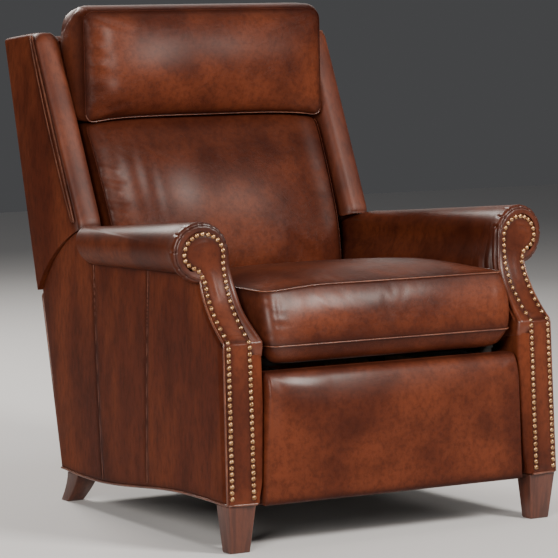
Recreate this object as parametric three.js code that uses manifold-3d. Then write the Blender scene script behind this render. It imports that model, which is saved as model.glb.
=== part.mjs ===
// Wingback push-back recliner, millimetres, +Z up, the sitter faces -Y.
// Heights are measured from the floor, setbacks from the front foot of the footrest panel.
import * as THREE from 'three'
import { mergeVertices } from 'three/addons/utils/BufferGeometryUtils.js'
import Module from 'manifold-3d'

const wasm = await Module()
wasm.setup()

// Fits
const fitGap = 0.4
const pinPlay = 0.4
const softGap = 4

// Body, seen from the side
const bodyBottom = 100
const bottomDip = 34
const dipStartShare = 0.2
const dipTurnShare = 0.62
const kneeHeight = 428
const kneeSetback = 21
const kneeEasePower = 2.25
const scrollHeight = 600
const scrollSetback = 122
const rearAtFloor = 755
const rearLeanShare = 0.24
const bodyRearBottom = 75
const pivotSetback = 580
const pivotHeight = 292
const bodyArcRadius = 330
const backArcGap = 3
const armRearSetback = 655
const armRearHeight = 606

// Body, seen from the front
const armInnerX = 341
const postWidth = 71
const neckNarrowing = 5
const bodyHalfRear = 376
const flareShare = 0.1
const panelThickness = 8
const frameSetIn = 2
const facingThickness = 12

// Scroll and arm roll
const scrollX = 399
const scrollRadius = 55
const scrollHookShare = 0.27
const scrollFromDegrees = 192
const scrollToDegrees = -64
const scrollSteps = 22
const rollRadius = 63
const rollCentreX = 402
const rollCentreHeight = 606
const rollRearX = 376
const rollRearHeight = 577
const rollRearWide = 36
const rollRearTall = 39
const rollRearSetback = 650
const rollSetIn = 4.6
const rollNoseShare = 0.97
const rollTailShare = 0.9

// Nail trim
const nailDiameter = 9.5
const nailPitch = 12.7
const nailHeight = 3.4
const nailInset = 10
const nailStart = 15
const nailLift = 1
const nailCrownShare = 0.55
const stripWidth = 3
const stripThickness = 1.2

// Legs
const frontLegX = 377
const frontLegSetback = 31
const frontLegTop = { wide: 62, deep: 48 }
const frontLegFoot = { wide: 42, deep: 30 }
const rearLegX = 347
const rearLegFootX = 358
const rearLegTopSetback = 725
const rearLegSplay = 32
const rearLegTop = { wide: 56, deep: 48 }
const rearLegFoot = { wide: 41, deep: 30 }

// Inner arm padding
const armPadThickness = 23
const armPadBottom = 386
const armPadTop = 575
const armPadRear = 610
const armPadCrown = 6
const armPadEndShare = 0.035
const armPadSwellShare = 0.09

// Frame rails across the body
const stretcherSetback = 215
const stretcherThickness = 25
const stretcherBottom = 112
const stretcherHeight = 68
const rearRailSetback = 722
const rearRailHeight = 66

// Seat carriage
const deckHalfWide = 300
const deckFront = 82
const deckRear = 600
const deckBottom = 368
const deckThickness = 16
const seatRailOuterX = 296
const seatRailThickness = 27.6
const seatRailHeight = 48
const angleFlangeX = 336
const angleThickness = 3
const angleRear = 540
const angleFront = 160
const guideRailInnerX = 318
const guideRailHeight = 26

// Seat cushion
const seatHalfWide = 306
const seatFront = 22
const seatFrontSlope = 30
const seatRear = 628
const seatHeight = 146
const seatCrown = 34
const seatBelly = 10
const seatRound = 30
const seatFrontShare = 0.6

// Footrest panel
const panelHalfWide = 324
const panelBottom = 97
const panelHeight = 270
const panelLean = 14
const footPadThickness = 38
const footPadRound = 14
const footPadCrown = 6
const boardThickness = 16
const boardHalfWide = 308
const boardMargin = 8

// Footrest linkage, a scissor whose second stage is the footrest bracket and the tie
const linkLength = 250
const linkHalfWidth = 10
const linkThickness = 4
const linkGap = 2
const linkRestDegrees = 85
const footrestPivotSetback = 125
const footrestPivotHeight = 350
const linkOpenDegrees = 6
const pinRadius = 4
const tubeRadius = 8
const tieEyeRadius = 13
const plateInnerX = 264
const plateHalfWidth = 17
const plateTopRear = 250
const plateTopHeight = 40
const bracketFlange = 26

// Back frame, measured from its lower rear corner, from the wings' top and forward from its outside
const backTopDrop = 13.4
const backSkinThickness = 8
const backSkinStart = 10
const stileThickness = 33
const stileDepth = 40
const stileStart = 56
const lowerRailHeight = 42
const topRailHeight = 40
const webThickness = 4

// Back hinge: a cranked steel arm on each side, on a stud fixed to the arm frame
const hingeArmThickness = 5
const hingeArmHalfWidth = 14
const hingeElbow = { setback: 762, height: 595 }
const hingeUpperArm = { back: 118, up: 75 }
const hingePinRadius = 8
const hingePlateHalf = 26
const hingePlateThickness = 5

// Wings
const wingInnerX = 326
const wingOuterLowX = 383
const wingOuterTopX = 388
const wingFrontLow = { setback: 679, height: 612 }
const wingFrontTop = { setback: 884, height: 1030 }
const wingTopFall = 14
const wingNose = 25
const wingNoseBottom = 621
const noseFootShare = 0.4
const noseTopShare = 1.02
const noseFadeShare = 0.09
const noseFullness = 0.7

// Back cushions
const lumbarHalfWide = 312
const lumbarBottom = 440
const lumbarFrontFoot = 640
const lumbarFrontHead = 788
const lumbarCrown = 24
const lumbarBow = 31
const lumbarFootDepth = 46
const lumbarRearShare = 0.64
const lumbarRound = 26
const headrestHalfWide = 320
const headrestBottom = 832
const headrestAboveWing = 56
const headrestFrontLow = 774
const headrestFrontTop = 790
const headrestCrown = 20
const headrestRise = 8
const headrestRound = 40
const headrestRear = 900

// Leather, wood and metal, read from the photograph
const leather = { color: 0x5a2a1a, roughness: 0.42, metalness: 0 }
const cushionLeather = { color: 0x4e2216, roughness: 0.36, metalness: 0 }
const legWood = { color: 0x4a2013, roughness: 0.45, metalness: 0 }
const frameWood = { color: 0xa88658, roughness: 0.8, metalness: 0 }
const brass = { color: 0xa98452, roughness: 0.36, metalness: 0.9 }
const steel = { color: 0x5c5e60, roughness: 0.42, metalness: 0.85 }
const webbing = { color: 0x2c2723, roughness: 0.95, metalness: 0 }

const sides = [{ name: 'left', sign: -1 }, { name: 'right', sign: 1 }]
const lerp = THREE.MathUtils.lerp
const clamp = THREE.MathUtils.clamp
const rad = THREE.MathUtils.degToRad

// A closed solid from points and triangles, turned to face out.
function solid(points, faces) {
  let volume = 0
  for (const [a, b, c] of faces) {
    volume += points[a].dot(points[b].clone().cross(points[c]))
  }
  const index = volume < 0 ? faces.map(([a, b, c]) => [a, c, b]).flat() : faces.flat()
  const geometry = new THREE.BufferGeometry()
  geometry.setAttribute('position', new THREE.Float32BufferAttribute(points.flatMap(p => p.toArray()), 3))
  geometry.setIndex(index)
  return geometry
}

// A plate between two images of one flat outline, with holes.
function plate(outline, onNear, onFar, holes = []) {
  const rings = [outline, ...holes].map((ring, i) => {
    const turn = THREE.ShapeUtils.isClockWise(ring)
    return (i === 0) === turn ? [...ring].reverse() : ring
  })
  const flat = rings.flat()
  const faces = []
  for (const face of THREE.ShapeUtils.triangulateShape(rings[0], rings.slice(1))) {
    const [a, b, c] = face.map(k => flat[k])
    const left = (b.x - a.x) * (c.y - a.y) - (b.y - a.y) * (c.x - a.x) > 0
    const [i, j, k] = left ? face : [...face].reverse()
    faces.push([i, j, k], [k + flat.length, j + flat.length, i + flat.length])
  }
  let start = 0
  for (const ring of rings) {
    ring.forEach((_, n) => {
      const i = start + n
      const j = start + (n + 1) % ring.length
      faces.push([j, i, i + flat.length], [j, i + flat.length, j + flat.length])
    })
    start += ring.length
  }
  return solid([...flat.map(onNear), ...flat.map(onFar)], faces)
}

// A plate standing across X; its outline is given as (setback, height).
function sideways(outline, xNear, xFar, holes = []) {
  const at = x => p => new THREE.Vector3(typeof x === 'function' ? x(p) : x, p.x, p.y)
  return plate(outline, at(xNear), at(xFar), holes)
}

// A skin through rings of equal count, closed by a fan at both ends.
function loft(rings) {
  const count = rings[0].length
  const points = rings.flat()
  const faces = []
  for (let r = 0; r + 1 < rings.length; r++) {
    for (let k = 0; k < count; k++) {
      const a = r * count + k
      const b = r * count + (k + 1) % count
      faces.push([a, b, b + count], [a, b + count, a + count])
    }
  }
  for (const [ring, base] of [[rings[0], 0], [rings.at(-1), points.length - count]]) {
    const centre = new THREE.Vector3()
    ring.forEach(p => centre.addScaledVector(p, 1 / count))
    const hub = points.push(centre) - 1
    for (let k = 0; k < count; k++) {
      const edge = [base + k, base + (k + 1) % count]
      faces.push(base ? [edge[0], edge[1], hub] : [edge[1], edge[0], hub])
    }
  }
  return solid(points, faces)
}

// A cushion blank: a box with rounded edges, then bent by warp(point, a, b, c) with a, b, c in -1..1.
const roundCells = 2
function pillow(half, round, cells, warp) {
  const grid = new THREE.BoxGeometry(2, 2, 2, ...cells)
  grid.deleteAttribute('normal')
  grid.deleteAttribute('uv')
  const blank = mergeVertices(grid)
  const rounded = (value, size, count) => {
    const step = Math.round((value + 1) / 2 * count)
    const edge = Math.min(step, count - step)
    const inside = (edge - roundCells) / (count / 2 - roundCells)
    const out = inside < 0 ? size - round * edge / roundCells : (size - round) * (1 - inside)
    return step < count / 2 ? -out : out
  }
  const position = blank.attributes.position
  for (let i = 0; i < position.count; i++) {
    const raw = new THREE.Vector3(
      rounded(position.getX(i), half.x, cells[0]),
      rounded(position.getY(i), half.y, cells[1]),
      rounded(position.getZ(i), half.z, cells[2]))
    const core = half.clone().subScalar(round)
    const inner = raw.clone().clamp(core.clone().negate(), core)
    const off = raw.clone().sub(inner)
    const p = off.length() > 0 ? inner.add(off.setLength(round)) : raw
    const q = warp(p, p.x / half.x, p.y / half.y, p.z / half.z)
    position.setXYZ(i, q.x, q.y, q.z)
  }
  return solidFrom(blank)
}

function solidFrom(geometry) {
  const position = geometry.attributes.position
  const index = geometry.index.array
  const points = Array.from({ length: position.count },
    (_, i) => new THREE.Vector3().fromBufferAttribute(position, i))
  const faces = Array.from({ length: index.length / 3 }, (_, i) => [...index.slice(3 * i, 3 * i + 3)])
  return solid(points, faces)
}

function toManifold(geometry) {
  const bare = geometry.clone()
  bare.deleteAttribute('normal')
  bare.deleteAttribute('uv')
  const merged = mergeVertices(bare)
  return new wasm.Manifold(new wasm.Mesh({
    numProp: 3,
    vertProperties: new Float32Array(merged.attributes.position.array),
    triVerts: new Uint32Array(merged.index.array)
  }))
}

function fromManifold(body) {
  const mesh = body.getMesh()
  const geometry = new THREE.BufferGeometry()
  geometry.setAttribute('position', new THREE.BufferAttribute(new Float32Array(mesh.vertProperties), 3))
  geometry.setIndex([...mesh.triVerts])
  return geometry
}

const cut = (body, ...tools) =>
  fromManifold(tools.reduce((left, tool) => left.subtract(toManifold(tool)), toManifold(body)))
const join = (...bodies) =>
  fromManifold(bodies.slice(1).reduce((sum, body) => sum.add(toManifold(body)), toManifold(bodies[0])))

const flipX = geometry => {
  const copy = geometry.clone().applyMatrix4(new THREE.Matrix4().makeScale(-1, 1, 1))
  return solidFrom(mergeVertices(copy))
}

const box = (x0, x1, y0, y1, z0, z1) => {
  const geometry = new THREE.BoxGeometry(x1 - x0, y1 - y0, z1 - z0)
  return geometry.translate((x0 + x1) / 2, (y0 + y1) / 2, (z0 + z1) / 2)
}

const rod = (radius, x0, x1, y, z, faces = 16) => {
  const geometry = new THREE.CylinderGeometry(radius, radius, x1 - x0, faces)
  return geometry.rotateZ(Math.PI / 2).translate((x0 + x1) / 2, y, z)
}

const circle = (x, y, radius, steps = 16) =>
  Array.from({ length: steps }, (_, i) => {
    const turn = 2 * Math.PI * i / steps
    return new THREE.Vector2(x + radius * Math.cos(turn), y + radius * Math.sin(turn))
  })

// Points of an arc, both ends included, angles in degrees from +setback towards +height.
const arc = (x, y, radius, from, to, steps) =>
  Array.from({ length: steps + 1 }, (_, i) => {
    const turn = rad(lerp(from, to, i / steps))
    return new THREE.Vector2(x + radius * Math.cos(turn), y + radius * Math.sin(turn))
  })

// The assembly: base, seat carriage, back and footrest, all in one frame
const recliner = new THREE.Group()
const chair = new THREE.Group()
recliner.add(chair)

function add(name, geometry, look, parent = chair) {
  const mesh = new THREE.Mesh(geometry, new THREE.MeshStandardMaterial(look))
  mesh.name = name
  parent.add(mesh)
  return mesh
}

function addPair(name, geometry, look, parent = chair) {
  for (const side of sides) {
    add(`${name}_${side.name}`, side.sign > 0 ? geometry : flipX(geometry), look, parent)
  }
}

// Curves that several pieces share

const postMidX = armInnerX + postWidth / 2
const postOuterX = armInnerX + postWidth
const rearY = z => rearAtFloor + rearLeanShare * z
const outerX = y => lerp(postOuterX, bodyHalfRear, Math.max(0, y / rearY(bodyRearBottom)))

// Setback of the facing's front surface: straight to the knee, then swept back to the scroll.
function frontY(x, z) {
  const lower = kneeSetback * clamp((z - bodyBottom) / (kneeHeight - bodyBottom), 0, 1)
  const rise = clamp((z - kneeHeight) / (scrollHeight - kneeHeight), 0, 1)
  const sweep = (scrollSetback - kneeSetback) * (1 - Math.pow(1 - rise, kneeEasePower))
  return lower + sweep + (x - postMidX) * flareShare
}

// The body's lower edge dips towards the rear.
const bottomZ = y => {
  const along = clamp((y / rearAtFloor - dipStartShare) / (1 - dipStartShare), 0, 1)
  return bodyBottom - bottomDip * Math.sin(along * Math.PI * dipTurnShare) ** 2
}

// Heights at which the curved front is sampled, from a foot to the scroll's neck.
const neckHeight = scrollHeight - scrollRadius
const frontRowShares = [0, 0.36, 0.68, 0.75, 0.77, 0.79, 0.82, 0.85, 0.88, 0.91, 0.94, 0.97]
const frontRows = foot => {
  const rows = frontRowShares.map(share => lerp(bodyBottom, neckHeight, share)).filter(z => z > foot)
  return [foot, kneeHeight, ...rows].sort((a, b) => a - b)
}

// The facing's edge from the inner foot, over the scroll, to the outer foot, drawn in by inset.
function facingEdge(inset, foot) {
  const narrowing = z => neckNarrowing * (z - bodyBottom) / (neckHeight - bodyBottom)
  const up = frontRows(foot)
  const points = up.map(z => new THREE.Vector2(armInnerX + inset - narrowing(z) / 2, z))
  const radius = scrollRadius - inset
  for (let i = 0; i <= scrollSteps; i++) {
    const turn = rad(lerp(scrollFromDegrees, scrollToDegrees, i / scrollSteps))
    const reach = radius * (1 - scrollHookShare * THREE.MathUtils.smoothstep(-turn, 0, rad(-scrollToDegrees)))
    points.push(new THREE.Vector2(scrollX + reach * Math.cos(turn), scrollHeight + reach * Math.sin(turn)))
  }
  for (const z of up.reverse()) {
    points.push(new THREE.Vector2(postOuterX - inset - narrowing(z), z))
  }
  return points
}

// The facing as a ladder: at each height one span from the inner to the outer edge.
function facingLadder() {
  const path = facingEdge(0, bodyBottom)
  const top = path.reduce((best, p, i) => p.y > path[best].y ? i : best, 0)
  const inner = path.slice(0, top)
  const outer = path.slice(top + 1).reverse()
  const across = (side, z) => {
    const k = Math.max(1, side.findIndex(p => p.y > z - fitGap / 100))
    return lerp(side[k - 1].x, side[k].x, clamp((z - side[k - 1].y) / (side[k].y - side[k - 1].y), 0, 1))
  }
  const limit = Math.min(inner.at(-1).y, outer.at(-1).y)
  const heights = [...inner, ...outer].map(p => p.y).filter(z => z <= limit).sort((a, b) => a - b)
  const rows = heights.filter((z, i) => i === 0 || z - heights[i - 1] > fitGap)
  return loft(rows.map(z => {
    const [near, far] = [across(inner, z), across(outer, z)]
    const at = (x, back) => new THREE.Vector3(x, frontY(x, z) + back, z)
    return [at(near, 0), at(far, 0), at(far, facingThickness), at(near, facingThickness)]
  }))
}

// One ring of the arm roll; grow enlarges it for clearance.
function rollRing(t, grow, shrink = 1) {
  const wide = (lerp(rollRadius, rollRearWide, t) + grow) * shrink
  const tall = (lerp(rollRadius, rollRearTall, t) + grow) * shrink
  return Array.from({ length: scrollSteps }, (_, i) => {
    const turn = 2 * Math.PI * i / scrollSteps
    const x = lerp(rollCentreX, rollRearX, t) + wide * Math.cos(turn)
    const z = lerp(rollCentreHeight, rollRearHeight, t) + tall * Math.sin(turn)
    const front = frontY(x, Math.min(z, scrollHeight)) + facingThickness + rollSetIn
    return new THREE.Vector3(x, lerp(front, rollRearSetback, t), z)
  })
}

const rollStations = [0, 0.04, 0.12, 0.3, 0.55, 0.8, 0.94]
const roll = loft([
  ...rollStations.map(t => rollRing(t, 0, t === 0 ? rollNoseShare : 1)),
  rollRing(1, 0, rollTailShare),
])
const rollSpace = loft([
  rollRing(0, fitGap).map(p => p.setY(0)),
  ...rollStations.map(t => rollRing(t, fitGap)),
  rollRing(1, fitGap).map(p => p.setY(p.y + fitGap))])

// Arms
function bodyOutline(inset) {
  const back = facingThickness + fitGap + (inset ? frameSetIn : 0)
  const low = bodyBottom + inset
  const top = armPadTop
  const heights = [low, ...frontRows(bodyBottom).filter(z => z > low), lerp(neckHeight, top, 0.5), top]
  const front = heights.map(z => new THREE.Vector2(frontY(postMidX, z) + back, z))
  const radius = bodyArcRadius - inset
  const rearZ = rearCornerHeight(radius, inset)
  const rearTurn = THREE.MathUtils.radToDeg(
    Math.atan2(rearZ - pivotHeight, rearY(rearZ) - inset - pivotSetback))
  const topTurn = THREE.MathUtils.radToDeg(Math.acos((armRearSetback + softGap - pivotSetback) / radius))
  const curve = arc(pivotSetback, pivotHeight, radius, topTurn, rearTurn, 12)
    .map(p => new THREE.Vector2(p.x, Math.min(p.y, armRearHeight - inset)))
  const bottomStations = [1, 0.86, 0.7, 0.5, 0.3, 0.1]
  const lowRear = rearY(bodyRearBottom) - inset
  const bottom = bottomStations.map(share => {
    const y = share * lowRear
    return new THREE.Vector2(y, bottomZ(y) + inset)
  })
  return [...front, new THREE.Vector2(armRearSetback, top), ...curve, ...bottom]
}

// Height at which a circle about the back pivot meets the rear line, moved in by inset.
function rearCornerHeight(radius, inset) {
  let low = bodyRearBottom
  let high = wingFrontTop.height
  for (let i = 0; i < 40; i++) {
    const z = (low + high) / 2
    if (Math.hypot(rearY(z) - inset - pivotSetback, z - pivotHeight) < radius) low = z
    else high = z
  }
  return low
}

// The body's front end is turned out with the facing; the turn fades out behind the post.
const flareFade = 2.4
const flared = x => p => {
  const across = typeof x === 'function' ? x(p) : x
  const fade = clamp((flareFade - (p.x - facingThickness) / scrollSetback) / (flareFade - 1), 0, 1)
  return new THREE.Vector3(across, p.x + (across - postMidX) * flareShare * fade, p.y)
}
const skinOuter = flared(p => outerX(p.x))
const skinInner = flared(p => outerX(p.x) - panelThickness)
const coreOuter = flared(p => outerX(p.x) - panelThickness - fitGap)
addPair('arm_side_panel', cut(plate(bodyOutline(0), skinInner, skinOuter), rollSpace), leather)
const armCore = plate(bodyOutline(panelThickness + fitGap), flared(armInnerX), coreOuter)
addPair('arm_frame', cut(armCore, rollSpace), frameWood)
addPair('arm_roll', roll, leather)

addPair('arm_facing', facingLadder(), leather)

// Nails: one chain of heads on a thin strip, along the facing's edge
function nailChain() {
  const path = facingEdge(nailInset, bodyBottom + nailStart)
  const reach = [0]
  path.slice(1).forEach((p, i) => reach.push(reach[i] + p.distanceTo(path[i])))
  const total = reach.at(-1)
  const pointAt = far => {
    const k = clamp(reach.findIndex(r => r >= far), 1, path.length - 1)
    return path[k - 1].clone().lerp(path[k], (far - reach[k - 1]) / (reach[k] - reach[k - 1]))
  }
  const section = (far, halfWide, height) => {
    const at = pointAt(far)
    const behind = pointAt(Math.max(0, far - stripWidth))
    const ahead = pointAt(Math.min(total, far + stripWidth)).sub(behind).normalize()
    const side = new THREE.Vector2(ahead.y, -ahead.x)
    const corner = (across, out) => {
      const p = at.clone().addScaledVector(side, across)
      return new THREE.Vector3(p.x, frontY(p.x, p.y) - nailLift - out, p.y)
    }
    const crown = halfWide * nailCrownShare
    return [corner(-halfWide, 0), corner(-crown, height), corner(crown, height), corner(halfWide, 0)]
  }
  const count = Math.round(total / nailPitch)
  const stations = []
  for (let i = 0; i <= count; i++) {
    stations.push({ far: total * i / count, halfWide: nailDiameter / 2, height: nailHeight })
    stations.push({ far: total * (i + 0.5) / count, halfWide: stripWidth / 2, height: stripThickness })
  }
  stations.pop()
  path.forEach((p, i) => {
    const clear = stations.every(other => Math.abs(other.far - reach[i]) > fitGap)
    if (Math.abs(p.y - kneeHeight) < fitGap && clear) {
      stations.push({ far: reach[i], halfWide: stripWidth, height: nailHeight / 2 })
    }
  })
  stations.sort((a, b) => a.far - b.far)
  return loft(stations.map(({ far, halfWide, height }) => section(far, halfWide, height)))
}
addPair('nail_trim', nailChain(), brass)

// Legs: square wooden tapers, the rear pair splayed backwards
function taper(top, foot, height, topAt, footAt) {
  const ring = (size, at, z) => [[-1, -1], [1, -1], [1, 1], [-1, 1]].map(([i, j]) =>
    new THREE.Vector3(at.x + i * size.wide / 2, at.y + j * size.deep / 2, z))
  return loft([ring(foot, footAt, 0), ring(top, topAt, height)])
}
const frontAt = new THREE.Vector2(frontLegX, frontLegSetback)
const rearTopAt = new THREE.Vector2(rearLegX, rearLegTopSetback)
const rearFootAt = new THREE.Vector2(rearLegFootX, rearLegTopSetback + rearLegSplay)
addPair('front_leg', taper(frontLegTop, frontLegFoot, bodyBottom - fitGap, frontAt, frontAt), legWood)
const rearLegReach = rearLegTop.deep / 2
const rearLegHeight = Math.min(
  bottomZ(rearLegTopSetback - rearLegReach), bottomZ(rearLegTopSetback + rearLegReach)) - fitGap
addPair('rear_leg', taper(rearLegTop, rearLegFoot, rearLegHeight, rearTopAt, rearFootAt), legWood)

// Inner arm padding, crowned towards the seat
const padRowShares = [0, 0.05, 0.14, 0.22, 0.3, 0.38, 0.47, 0.58, 0.7, 0.85, 1]
const padAlongShares = [0, 0.012, armPadEndShare, 0.09, 0.25, 0.5, 0.75, 0.93, 0.985, 1]
const padRings = padRowShares.map(up => {
  const z = lerp(armPadBottom, armPadTop, up)
  const front = frontY(armInnerX, z) + facingThickness + frameSetIn
  const swell = Math.min(1, Math.sqrt(up / armPadSwellShare))
  const ring = padAlongShares.map(share => {
    const end = Math.sqrt(clamp(Math.min(share, 1 - share) / armPadEndShare, 0, 1))
    const crown = armPadCrown * Math.sin(Math.PI * share)
    const out = (armPadThickness - armPadCrown + crown) * end * swell
    return new THREE.Vector3(armInnerX - fitGap * 2 - out, lerp(front, armPadRear, share), z)
  })
  const back = armInnerX - fitGap
  return [...ring, new THREE.Vector3(back, armPadRear, z), new THREE.Vector3(back, front, z)]
})
addPair('arm_inner_pad', cut(loft(padRings), rollSpace), leather)

// Rails that tie the two sides together, and the leather across the lower back
const spanX = armInnerX - fitGap
const stretcherTop = stretcherBottom + stretcherHeight
add('front_stretcher', box(-spanX, spanX, stretcherSetback, stretcherSetback + stretcherThickness,
  stretcherBottom, stretcherTop), frameWood)
add('rear_rail', box(-spanX, spanX, rearRailSetback, rearRailSetback + stretcherThickness,
  bodyRearBottom + panelThickness, bodyRearBottom + panelThickness + rearRailHeight), frameWood)
const rearTopZ = rearCornerHeight(bodyArcRadius, 0)
const rearSpan = outerX(rearY(rearTopZ)) - panelThickness - fitGap
const rearOutline = [
  new THREE.Vector2(rearY(bodyRearBottom) - panelThickness, bodyRearBottom),
  new THREE.Vector2(rearY(bodyRearBottom), bodyRearBottom),
  new THREE.Vector2(rearY(rearTopZ), rearTopZ),
  new THREE.Vector2(rearY(rearTopZ) - panelThickness, rearTopZ)]
add('rear_panel', sideways(rearOutline, -rearSpan, rearSpan), leather)

// Seat carriage: deck, wooden rails, steel angles that slide on the guides fixed to the arms
const carriage = new THREE.Group()
chair.add(carriage)
const deckTop = deckBottom + deckThickness
const seatDeck = box(-deckHalfWide, deckHalfWide, deckFront, deckRear, deckBottom, deckTop)
add('seat_deck', seatDeck, frameWood, carriage)
const railTop = deckBottom - fitGap
const railInnerX = seatRailOuterX - seatRailThickness
const seatRail = box(railInnerX, seatRailOuterX, deckFront, deckRear, railTop - seatRailHeight, railTop)
addPair('seat_rail', seatRail, frameWood, carriage)
const flangeZ = railTop - seatRailHeight / 3
function angleSection() {
  const inner = seatRailOuterX + fitGap
  const web = [inner, inner + angleThickness]
  const upright = box(web[0], web[1], angleFront, angleRear, railTop - seatRailHeight, railTop)
  const flange = box(web[0], angleFlangeX, angleFront, angleRear, flangeZ - angleThickness, flangeZ)
  return join(upright, flange)
}
addPair('carriage_angle', angleSection(), steel, carriage)
const guideTop = flangeZ - angleThickness - fitGap
const guideRail = box(guideRailInnerX, spanX, angleFront, angleRear, guideTop - guideRailHeight, guideTop)
addPair('guide_rail', guideRail, steel)

// Seat cushion: crowned top, boxed sides drawn in, front face leaning back, belly under the front
const seatBottom = deckTop + fitGap
const seatHalf = new THREE.Vector3(seatHalfWide, (seatRear - seatFront) / 2, seatHeight / 2)
const seatCushion = pillow(seatHalf, seatRound, [14, 14, 6], (p, a, b, c) => {
  const dome = (1 - a * a) * (1 - b * b * b * b)
  const front = THREE.MathUtils.smoothstep(-b, seatFrontShare, 1)
  const z = p.z + seatHeight / 2 + (c > 0 ? seatCrown * dome * c : 0)
  const lean = front * seatFrontSlope * c * c * Math.sign(c) * (1 - a ** 8)
  const bulge = front * seatBelly * (1 - c * c) * (1 - a * a)
  const draw = softGap * (1 - c * c) * Math.abs(a) ** 3
  const y = p.y + (seatRear + seatFront) / 2 + Math.max(0, lean) - bulge
  return new THREE.Vector3(p.x - Math.sign(a) * draw, y, seatBottom + z)
})
add('seat_cushion', seatCushion, cushionLeather, carriage)

// Footrest: panel board, its pad and the linkage
const footrest = new THREE.Group()
carriage.add(footrest)
const panelTilt = Math.atan2(panelLean, panelHeight)
const panelFace = (depth, up) => new THREE.Vector3(0,
  depth * Math.cos(panelTilt) + up * Math.sin(panelTilt),
  panelBottom + up * Math.cos(panelTilt) - depth * Math.sin(panelTilt))
const padHalf = new THREE.Vector3(panelHalfWide, footPadThickness / 2, panelHeight / 2)
const footPad = pillow(padHalf, footPadRound, [14, 5, 10], (p, a, b, c) => {
  const dome = (1 - a ** 4) * (1 - c ** 4) * footPadCrown
  const at = panelFace(p.y + footPadThickness / 2 - (b < 0 ? dome * -b : 0), p.z + panelHeight / 2)
  return at.setX(p.x)
})
add('footrest_pad', footPad, leather, footrest)
const boardFront = footPadThickness + fitGap
const boardBack = boardFront + boardThickness
const boardHead = panelHeight - boardMargin
const board = box(-boardHalfWide, boardHalfWide, boardFront, boardBack, boardMargin, boardHead)
board.rotateX(-panelTilt).translate(0, 0, panelBottom)
add('footrest_board', board, frameWood, footrest)

// Link layers, counted inwards from the mechanism plate
const layerStep = linkThickness + linkGap
const layer = n => [plateInnerX - n * layerStep, plateInnerX - n * layerStep + linkThickness]
const pivotA = new THREE.Vector2(footrestPivotSetback, footrestPivotHeight)
const restTurn = rad(linkRestDegrees)
const downLink = new THREE.Vector2(-Math.cos(restTurn), -Math.sin(restTurn))
const upLink = new THREE.Vector2(-Math.cos(restTurn), Math.sin(restTurn))
const midPin = pivotA.clone().addScaledVector(downLink, linkLength / 2)
const lowEnd = pivotA.clone().addScaledVector(downLink, linkLength)
const slotEnd = midPin.clone().addScaledVector(upLink, -linkLength / 2)
const highEnd = midPin.clone().addScaledVector(upLink, linkLength / 2)
const bracketPin = highEnd.clone().addScaledVector(downLink, linkLength / 2)
const slotTopZ = pivotA.y - linkLength * Math.sin(rad(linkOpenDegrees))

// A flat bar with round ends between two points.
function bar(from, to, halfWidth, endWidth = halfWidth) {
  const turn = THREE.MathUtils.radToDeg(Math.atan2(to.y - from.y, to.x - from.x))
  return [
    ...arc(to.x, to.y, endWidth, turn - 90, turn + 90, 8),
    ...arc(from.x, from.y, halfWidth, turn + 90, turn + 270, 8)]
}
const holeRadius = pinRadius + pinPlay
const pin = (at, from, to) => rod(pinRadius, from, to, at.x, at.y, 12)
const hole = (at, radius = holeRadius) => circle(at.x, at.y, radius, 12)

const plateLow = slotEnd.y - holeRadius - linkHalfWidth / 2
const plateOutline = [
  new THREE.Vector2(pivotA.x - plateHalfWidth, plateLow),
  new THREE.Vector2(pivotA.x + plateHalfWidth, plateLow),
  new THREE.Vector2(pivotA.x + plateHalfWidth, railTop - plateTopHeight),
  new THREE.Vector2(plateTopRear, railTop - plateTopHeight),
  new THREE.Vector2(plateTopRear, railTop),
  new THREE.Vector2(pivotA.x - plateHalfWidth, railTop)]
const slot = [
  ...arc(pivotA.x, slotTopZ, holeRadius, 0, 180, 6),
  ...arc(pivotA.x, slotEnd.y, holeRadius, 180, 360, 6)]
addPair('mechanism_plate', sideways(plateOutline, ...layer(0), [hole(pivotA), slot]), steel, carriage)
const [plateNear, plateFar] = layer(0)
const [liftNear, liftFar] = layer(1)
const [crossNear, crossFar] = layer(2)
const [bracketNear, bracketFar] = layer(3)
const [tieNear, tieFar] = layer(4)
const liftBar = sideways(bar(pivotA, lowEnd, linkHalfWidth), liftNear, liftFar, [hole(midPin)])
addPair('lift_link', join(liftBar, pin(pivotA, liftNear + fitGap, plateFar)), steel, footrest)
const crossBar = sideways(bar(slotEnd, highEnd, linkHalfWidth), crossNear, crossFar)
const crossPins = [
  pin(slotEnd, crossFar - fitGap, plateFar),
  pin(midPin, crossFar - fitGap, liftFar),
  pin(highEnd, bracketNear, crossNear + fitGap)]
addPair('cross_link', join(crossBar, ...crossPins), steel, footrest)
const tubeHalf = liftNear - fitGap
add('link_tube', rod(tubeRadius, -tubeHalf, tubeHalf, lowEnd.x, lowEnd.y, 16), steel, footrest)
const tieEye = hole(lowEnd, tubeRadius + pinPlay)
const tieBar = sideways(bar(bracketPin, lowEnd, linkHalfWidth, tieEyeRadius), tieNear, tieFar, [tieEye])
addPair('tie_link', join(tieBar, pin(bracketPin, tieFar - fitGap, bracketFar)), steel, footrest)

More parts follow.
